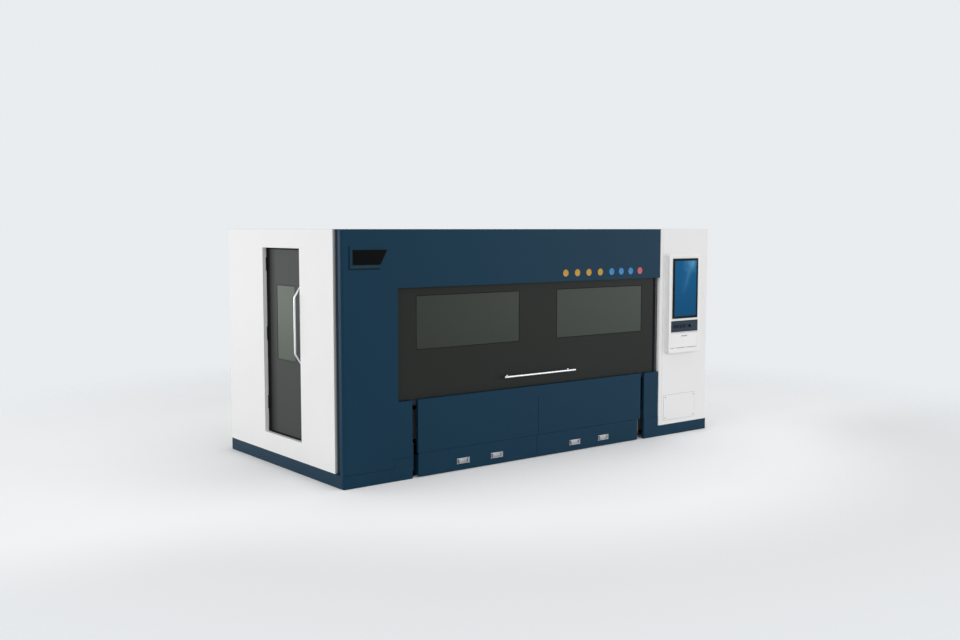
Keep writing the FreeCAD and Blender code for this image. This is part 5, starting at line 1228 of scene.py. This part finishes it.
class MACHINE_OT_drawers(MachineOperator):
    """Two slag drawers with chest handles and their runners"""

    bl_idname = "machine.drawers"
    bl_label = "Slag drawers"

    def execute(self, context):
        for side in ("left", "right"):
            dress("slag_drawer_" + side, "navy_coat")
            plates = []
            for count in (1, 2):
                bail = "bail_%s_%d" % (side, count)
                low, high = span(bail)
                self.make_bail(bail, low, high)
                plates += self.make_plate((low.x + high.x) / 2, high.z - 4.0)
            place(join("chest_plates_" + side, plates), "drawer_" + side, "zinc_plate",
                  "chest_handle_steel", "handle_plates_" + side)
        dress("drawer_runners", "upright_steel", 0.6)
        return {"FINISHED"}

    def make_bail(self, node, low, high):
        """Smooth bent bar with its turned-out ends."""
        radius, play, bend, turn_in = 4.0, 0.05, 6.0, 12.0
        west, east, across = low.x + turn_in, high.x - turn_in, (low.y + high.y) / 2
        top, foot = high.z - radius, low.z + radius
        points = [(x, across, z) for x, z in (
            (low.x, top), (west, top), (west, foot), (east, foot), (east, top), (high.x, top))]
        bail = bent_bar(node + "_bar", points, radius - play, bend, 20, 6)
        place(soften(bail, 0.4), node, "zinc_plate", "chest_handle_steel", node)

    def make_plate(self, middle, pivot):
        """Pressed plate with a rolled rim, two ears and four rivets."""
        pivot_y, face, back, low, high = -1044.0, -1038.0, -1036.0, 58.0, 108.0
        half, ear_x, rivet_x, rivet_z = 69.0, 55.0, 62.5, 7.0
        parts = [slab("plate", (middle - half, face, low), (middle + half, back, high), 3.0,
                      edge=0.4, dish=("x", middle, 5.0, 1.2, -0.7))]
        for sign in (-1, 1):
            x = middle + sign * ear_x
            ear = start_rod("ear", (x - 2.5, pivot_y, pivot), 6.9, 5.0, "x", 28)
            hole = start_rod("hole", (x - 4.0, pivot_y, pivot), 4.1, 8.0, "x", 24)
            parts.append(soften(cut_away(ear, hole), 0.4))
            x = middle + sign * rivet_x
            for z in (low + rivet_z, high - rivet_z):
                rivet = start_rod("rivet", (x, face - 1.6, z), 2.6, 1.8, "y", 16)
                parts.append(soften(rivet, 0.9, 3))
        return parts


class MACHINE_OT_console(MachineOperator):
    """Operator console: housing, screen, key panel, switch, flap and keyboard"""

    bl_idname = "machine.console"
    bl_label = "Console"

    def execute(self, context):
        low = span("console_housing")[0]
        dress("console_housing", "console_coat")
        dress("screen_bezel", "bezel_plastic", 1.0)
        dress("button_panel", "panel_coat", 0.8)
        # painted shade: the flap's recessed finger lip is drawn grey
        lip = lambda spot, normal: normal.y < -0.9 and spot.y > low.y + 0.5
        dress("keyboard_flap", "console_coat", 0.6, [("lip_coat", lip)])
        self.make_hinge_gaps(low)
        pane = slab("screen_pane", *span("screen_glass"), 4.0, edge=0.5)
        place(pane, "frame", "screen", "screen_blue", "screen_glass")
        self.make_keys()
        self.make_switch()
        self.make_keyboard(context.scene.laser_console)
        return {"FINISHED"}

    def make_hinge_gaps(self, low):
        """Three dark strips that show below the flap, between its hinge knuckles."""
        strips = [
            slab("hinge_gap", low + Vector((start, -0.6, 42.0)), low + Vector((end, 0.2, 46.5)),
                 0.8, -0.2, segments=1)
            for start, end in ((30.0, 78.0), (127.0, 235.0), (284.0, 402.0))]
        place(join("flap_hinge_gaps", strips), "frame", "lip_coat", "console_white")

    def make_keys(self):
        """Square keys with a rounded rim and a shallow dish."""
        nodes = ["panel_key_%d" % count for count in range(1, 5)]
        low, high = span(nodes[0])
        key = slab("square_key", low, high, 2.0, edge=0.9, segments=3,
                   dish=("x", (low.x + high.x) / 2, 5.0, 2.5, -0.8))
        moves = [(span(node)[0].x - low.x, 0, 0) for node in nodes]
        for node, twin in zip(nodes, spread(key, moves)):
            place(twin, node.removeprefix("panel_"), "key_plastic", "key_grey", node)

    def make_switch(self):
        """Rotary switch: ribbed dial, raised grip and a pale pointer line."""
        low, high = span("mode_switch")
        x, z = (low.x + high.x) / 2, (low.z + high.z) / 2
        dial = start_rod("dial", (x, -1101.0, z), 16.0, 10.7, "y", 48)
        inset(dial, every_other("y", 7.5), 0.15, -0.35)
        grip = slab("grip", (x - 4.0, -1111.8, z - 15.2), (x + 4.0, -1100.0, z + 15.2), 1.4,
                    edge=1.2, segments=3)
        stem = start_rod("stem", (x, -1092.0, z), 5.2, 10.0, "y", 24)
        place(join("rotary_switch", [soften(dial, 0.5), grip, soften(stem, 0.3)]),
              "mode_switch", "key_plastic", "key_grey", "mode_switch")
        line = slab("switch_line", (x - 0.8, -1112.0, z + 3.0), (x + 0.8, -1111.4, z + 13.0),
                    0.3, edge=0.1)
        place(line, "mode_switch", "mark_plastic", "key_grey")

    def make_keyboard(self, settings):
        """Keyboard on the inner side of the flap: tray, caps and a long bar."""
        low, high = span("keyboard")
        middle, base, face = (low.x + high.x) / 2, high.y - 6.0, high.y - 0.4
        board = slab("board", low, (high.x, high.y - 5.0, high.z), 6.0, edge=1.2, way=-FRONT,
                     dish=("x", middle, 5.0, 1.0, -1.0))
        place(board, "keyboard_flap", "bezel_plastic", "bezel_black", "keyboard")
        columns, rows = settings.cap_columns, settings.cap_rows
        step_x = (high.x - low.x - 20.0) / columns
        step_z = (high.z - low.z - 18.0) / (rows + 1)
        cap = slab("cap", (low.x + 11.0, base, high.z - 8.0 - step_z),
                   (low.x + 9.0 + step_x, face, high.z - 10.0), 2.2, edge=0.6, way=-FRONT,
                   dish=("x", low.x + 10.0 + step_x / 2, 1.0, 0.8, -0.5))
        in_row(in_row(cap, columns, (step_x, 0, 0)), rows, (0, 0, -step_z))
        bar = slab("bar_cap", (middle - 70.0, base, low.z + 10.0),
                   (middle + 70.0, face, low.z + 8.0 + step_z), 2.2, edge=0.6, way=-FRONT)
        place(join("keyboard_caps", [cap, bar]), "keyboard_flap", "cap_plastic", "bezel_black")


class MACHINE_OT_badge(MachineOperator):
    """Bare badge plate with a slanting end and a thin raised rim"""

    bl_idname = "machine.badge"
    bl_label = "Badge plate"

    def execute(self, context):
        dress("badge_plate", "gloss_black", 1.2)
        low, high = span("badge_plate")
        east, top = high.x - 66.0, high.z + 28.0
        layers = (  # name, finish, slot, rise, then its low and high corner across X and Z
            # a darker plate as painted shadow left of and below the badge
            ("badge_gap", "navy_shade", "navy_paint", 0.6,
             (low.x - 54.0, low.z - 46.0), (east, top)),
            ("badge_backing", "navy_coat", "navy_paint", 1.6,
             (low.x - 38.0, low.z - 34.0), (east, top)),
            # a paler strip as painted highlight below the badge
            ("badge_ledge", "navy_ledge", "navy_paint", 2.0,
             (low.x - 30.0, low.z - 32.0), (east, low.z - 10.0)),
            ("badge_rim", "gloss_black", "badge_black", 2.8,
             (low.x - 14.0, low.z - 7.0), (east + 2.0, high.z)),
        )
        for name, finish, slot, rise, (x_low, z_low), (x_high, z_high) in layers:
            layer = slab(name, (x_low, high.y - rise, z_low), (x_high, high.y, z_high), 2.0, -0.2)
            place(layer, "frame", finish, slot)
        return {"FINISHED"}


class MACHINE_OT_bed(MachineOperator):
    """Welded bed with its feet, linear rails, racks and bolts"""

    bl_idname = "machine.bed"
    bl_label = "Bed and rails"

    def execute(self, context):
        # painted shade: the bed's end seen through the gap by the door takes the dark tube coat
        shaded_end = lambda spot, normal: spot.y < -900.0 and spot.x < -1380.0
        dress("machine_bed", "frame_coat", 2.0, [("tube_coat", shaded_end)])
        dress("levelling_feet", "zinc_plate", 0.8)
        dress("tube_frame", "tube_coat", 2.0)
        self.make_rails(context.scene.laser_inside)
        return {"FINISHED"}

    def make_rails(self, settings):
        """Ground rails with waisted sides, plugged bolt holes, and racks beside them."""
        low, high = span("bed_rails")
        pitch = settings.bolt_pitch / MM
        count = int((high.x - low.x - 40.0) / pitch) + 1
        rail_y, half, rack_back, rack_face = 835.0, 15.0, 860.0, 880.0
        rails, plugs, racks = [], [], []
        for side in (-1, 1):
            middle = rail_y * side
            rail = start_block(
                "rail", (low.x, middle - half, low.z), (high.x, middle + half, high.z))
            inset(rail, both_ends("y"), 7.0, -2.5)
            rails.append(soften(rail, 0.7))
            plug = start_rod("plug", (low.x + 30.0, middle, high.z - 1.0), 5.5, 1.15, "z", 16)
            inset(plug, facing(UP), 1.0)
            plugs.append(in_row(soften(plug, 0.05, 1), count, (pitch, 0, 0)))
            racks.append(rack((low.x, rack_back, low.z), (high.x, rack_face, high.z - 1.0),
                              side, settings.tooth_module / MM))
        place(join("linear_rails", rails), "frame", "rail_steel", "rail_steel", "bed_rails")
        place(join("rail_plugs", plugs), "frame", "dark_bolt", "rail_steel")
        place(join("bed_racks", racks), "frame", "rail_steel", "rail_steel")


class MACHINE_OT_table(MachineOperator):
    """Slat table that carries the sheet"""

    bl_idname = "machine.table"
    bl_label = "Slat table"

    def execute(self, context):
        dress("table_frame", "frame_coat", 1.5)
        dress("support_slats", "burnt_slat", 0.4, segments=1)
        return {"FINISHED"}


class MACHINE_OT_extraction(MachineOperator):
    """Slag chutes, suction box and exhaust pipe"""

    bl_idname = "machine.extraction"
    bl_label = "Chutes and extraction"

    def execute(self, context):
        for node, edge in (("slag_chutes", 0.8), ("suction_box", 0.8), ("exhaust_pipe", 0.6)):
            dress(node, "galvanised", edge)
        return {"FINISHED"}


class MACHINE_OT_cabinets(MachineOperator):
    """Electrical cabinet and laser source with latches and louvres"""

    bl_idname = "machine.cabinets"
    bl_label = "Cabinets"

    def execute(self, context):
        dress("column_cabinets", "cabinet_coat")
        self.make_fittings(span("column_cabinets")[1].x - 150.0)
        return {"FINISHED"}

    def make_fittings(self, x):
        """Swing latches and louvre rows on the two doors."""
        latches, louvres = [], []
        for face, z in ((60.0, 1000.0), (-800.0, 380.0)):
            latches += [
                slab("latch_plate", (x - 14, face - 3, z - 60), (x + 14, face, z + 60), 2.0,
                     edge=1.0),
                slab("latch_lever", (x - 9, face - 14, z - 48), (x + 9, face - 2, z + 44), 4.0,
                     1.0, 2.0, 3)]
            blade = start_block("louvre", (x - 330, face - 5, z - 150), (x - 90, face, z - 138))
            edit_faces(blade, facing(UP), bpy.ops.transform.resize, value=(1.0, 0.2, 1.0),
                       center_override=Vector((x - 210, face, z - 138)) * MM)
            louvres.append(in_row(soften(blade, 0.8), 8, (0, 0, -18)))
        place(join("cabinet_latches", latches), "frame", "bezel_plastic", "bezel_black")
        place(join("cabinet_louvres", louvres), "frame", "cabinet_coat", "cabinet_grey")


class MACHINE_OT_door_gear(MachineOperator):
    """Guide channels and lift cylinders of the lifting door"""

    bl_idname = "machine.door_gear"
    bl_label = "Door guides and cylinders"

    def execute(self, context):
        for node in ("door_guides", "door_lift_cylinders"):
            dress(node, "dark_steel", 0.8)
        return {"FINISHED"}


class MACHINE_OT_gantry(MachineOperator):
    """Gantry beam with its rails, rack, blocks, motors and pinions"""

    bl_idname = "machine.gantry"
    bl_label = "Gantry"

    def execute(self, context):
        settings = context.scene.laser_inside
        rails = lambda spot, normal: spot.x > -1707.9 or spot.z > 1080.1
        dress("gantry_beam", "gantry_coat", 1.5, [("cross_rail_steel", rails)])
        dress("x_carriages", "rail_steel", 1.0)
        self.make_motors(settings.rib_count)
        pitch_diameter = 44.0
        teeth = round(pitch_diameter / (settings.tooth_module / MM))
        for node in ("x_pinion_front", "x_pinion_rear", "y_pinion"):
            self.make_pinion(node, teeth)
        self.make_bolts()
        return {"FINISHED"}

    def make_motors(self, rib_count):
        """Upright servo motors with ribs, end caps and plugs, on their brackets."""
        low, high = span("x_drive_motors")
        bracket, motor, outside, top = 870.0, 872.0, 932.0, low.z + 12.0
        shaft_x, shaft_y, bore = -1858.0, 902.0, 8.3
        motors, plates = [], []
        for side in (-1, 1):
            near, far = sorted((motor * side, outside * side))
            motors += servo((low.x, near, top), (high.x, far, high.z), rib_count)
            near, far = sorted((bracket * side, outside * side))
            plate = start_block("bracket", (low.x, near, low.z), (high.x, far, top))
            hole = start_rod("hole", (shaft_x, shaft_y * side, low.z - 1.0), bore, 14.0, "z")
            plates.append(soften(cut_away(plate, hole), 1.0))
        place(join("x_motors", motors), "gantry", "motor_coat", "motor_black", "x_drive_motors")
        place(join("motor_brackets", plates), "gantry", "upright_steel", "carriage_steel")

    def make_pinion(self, node, teeth):
        """Toothed wheel with its hub and shaft."""
        low, high = span(node)
        x, y = (low.x + high.x) / 2, (low.y + high.y) / 2
        tip, root, width = 21.7, 17.4, 22.0
        parts = [
            gear("wheel", (x, y, low.z), tip, root, width, teeth),
            soften(start_rod("hub", (x, y, low.z + 21.0), 12.0, 4.0, "z"), 0.6),
            soften(start_rod("shaft", (x, y, low.z), 8.0, high.z - low.z, "z"), 0.5)]
        place(join(node + "_gear", parts), node, "upright_steel", "carriage_steel", node)

    def make_bolts(self):
        """Socket bolts along the beam's face between the two rails."""
        bolt = screw_head("beam_bolts", (-1708.0, -760.0, 975.0), 8.0, 5.0, -LEFT)
        place(in_row(bolt, 9, (0, 190, 0)), "gantry", "dark_bolt", "motor_black")


class MACHINE_OT_carriage(MachineOperator):
    """Cross carriage with its motor and slide rails"""

    bl_idname = "machine.carriage"
    bl_label = "Cross carriage"

    def execute(self, context):
        dress("cross_carriage", "carriage_coat", 1.0, [
            ("upright_steel", lambda spot, normal: spot.x < -1672.5 and spot.z < 1118.0),
            ("upright_steel", lambda spot, normal: spot.x > -1651.9),
            ("motor_coat", lambda spot, normal: spot.z > 1134.1)])
        dress("z_slide", "upright_steel", 1.2)
        return {"FINISHED"}


class MACHINE_OT_laser_head(MachineOperator):
    """Cutting head: body, barrel, rings, collimator, fibre plug and nozzle"""

    bl_idname = "machine.laser_head"
    bl_label = "Cutting head"

    def execute(self, context):
        low, high = span("laser_head")
        nozzle_x = -1638.0
        spot = Vector((nozzle_x, (low.y + high.y) / 2, low.z))

        def rod(name, rise, radius, tall, sides=48, end_radius=None):
            return start_rod(name, spot + UP * rise, radius, tall, "z", sides, end_radius)

        self.make_body(low, high, spot, rod)
        self.make_rings(spot, rod)
        nozzle = cut_away(rod("nozzle", 0.0, 5.0, 22.0, 40, 13.0), rod("bore", -1.0, 1.5, 18.0, 24))
        seat = rod("nozzle_seat", 22.0, 15.0, 5.0, 40)
        place(join("copper_nozzle", [soften(nozzle, 0.3), soften(seat, 0.8)]),
              "z_slide", "nozzle_copper", "head_aluminium")
        return {"FINISHED"}

    def make_body(self, low, high, spot, rod):
        """Milled body with two sunk covers and the turned parts above and below it."""
        body = start_block(
            "head_body", (low.x, low.y, spot.z + 140.0), (high.x, high.y, spot.z + 350.0))
        for way, rim, axis, middle in ((-LEFT, 9.0, "y", spot.y), (FRONT, 8.0, "x", spot.x)):
            inset(body, facing(way), rim)
            inset(body, facing(way, axis, middle, 5.0), 1.0, -1.5)
        turned = [rod("cone", 27.0, 16.0, 33.0, 48, 27.5), rod("barrel", 60.0, 28.0, 80.0),
                  rod("collimator", 350.0, 24.0, 120.0)]
        parts = [soften(body, 2.0, 3)] + [soften(part, 0.8) for part in turned]
        place(join("head_housing", parts), "z_slide", "head_anodised", "head_aluminium",
              "laser_head")

    def make_rings(self, spot, rod):
        """Dark rings, the lens drawer and the fibre plug."""
        parts = [
            soften(rod("ring", rise, radius + 0.6, tall), 0.8)
            for rise, radius, tall in (
                (66.0, 28.0, 6.0), (98.0, 28.0, 4.0), (128.0, 28.0, 10.0),
                (356.0, 24.0, 8.0), (420.0, 24.0, 5.0), (458.0, 24.0, 10.0))]
        plug = rod("plug", 470.0, 11.0, 50.0, 36)
        inset(plug, every_other("z", 10), 0.25, -0.5)
        drawer = slab("drawer", spot + Vector((-20.0, -45.8, 170.0)),
                      spot + Vector((20.0, -44.0, 196.0)), 3.0, edge=0.6)
        parts += [soften(plug, 0.4), drawer]
        place(join("head_rings", parts), "z_slide", "bezel_plastic", "head_aluminium")


STEPS = (
    MACHINE_OT_finishes,
    MACHINE_OT_studio,
    MACHINE_OT_blue_panels,
    MACHINE_OT_white_panels,
    MACHINE_OT_front_door,
    MACHINE_OT_side_door,
    MACHINE_OT_drawers,
    MACHINE_OT_console,
    MACHINE_OT_badge,
    MACHINE_OT_bed,
    MACHINE_OT_table,
    MACHINE_OT_extraction,
    MACHINE_OT_cabinets,
    MACHINE_OT_door_gear,
    MACHINE_OT_gantry,
    MACHINE_OT_carriage,
    MACHINE_OT_laser_head,
)


class MACHINE_PT_sidebar(bpy.types.Panel):
    """Buttons that build the machine's pieces"""

    bl_idname = "MACHINE_PT_sidebar"
    bl_label = "Laser machine"
    bl_space_type = "VIEW_3D"
    bl_region_type = "UI"
    bl_category = "Laser machine"

    def draw(self, context):
        for step in STEPS:
            self.layout.operator(step.bl_idname)
        for name, group in SETTINGS.items():
            box = self.layout.box()
            box.label(text=group.__doc__)
            for field in group.__annotations__:
                box.prop(getattr(context.scene, name), field)


CLASSES = tuple(SETTINGS.values()) + STEPS + (MACHINE_PT_sidebar,)


def register():
    for made in CLASSES:
        bpy.utils.register_class(made)
    for name, group in SETTINGS.items():
        setattr(bpy.types.Scene, name, PointerProperty(type=group))


def unregister():
    for name in SETTINGS:
        delattr(bpy.types.Scene, name)
    for made in reversed(CLASSES):
        bpy.utils.unregister_class(made)


def main():
    """Build everything in order."""
    register()
    for step in STEPS:
        group, name = step.bl_idname.split(".")
        getattr(getattr(bpy.ops, group), name)()


if __name__ == "__main__":
    main()
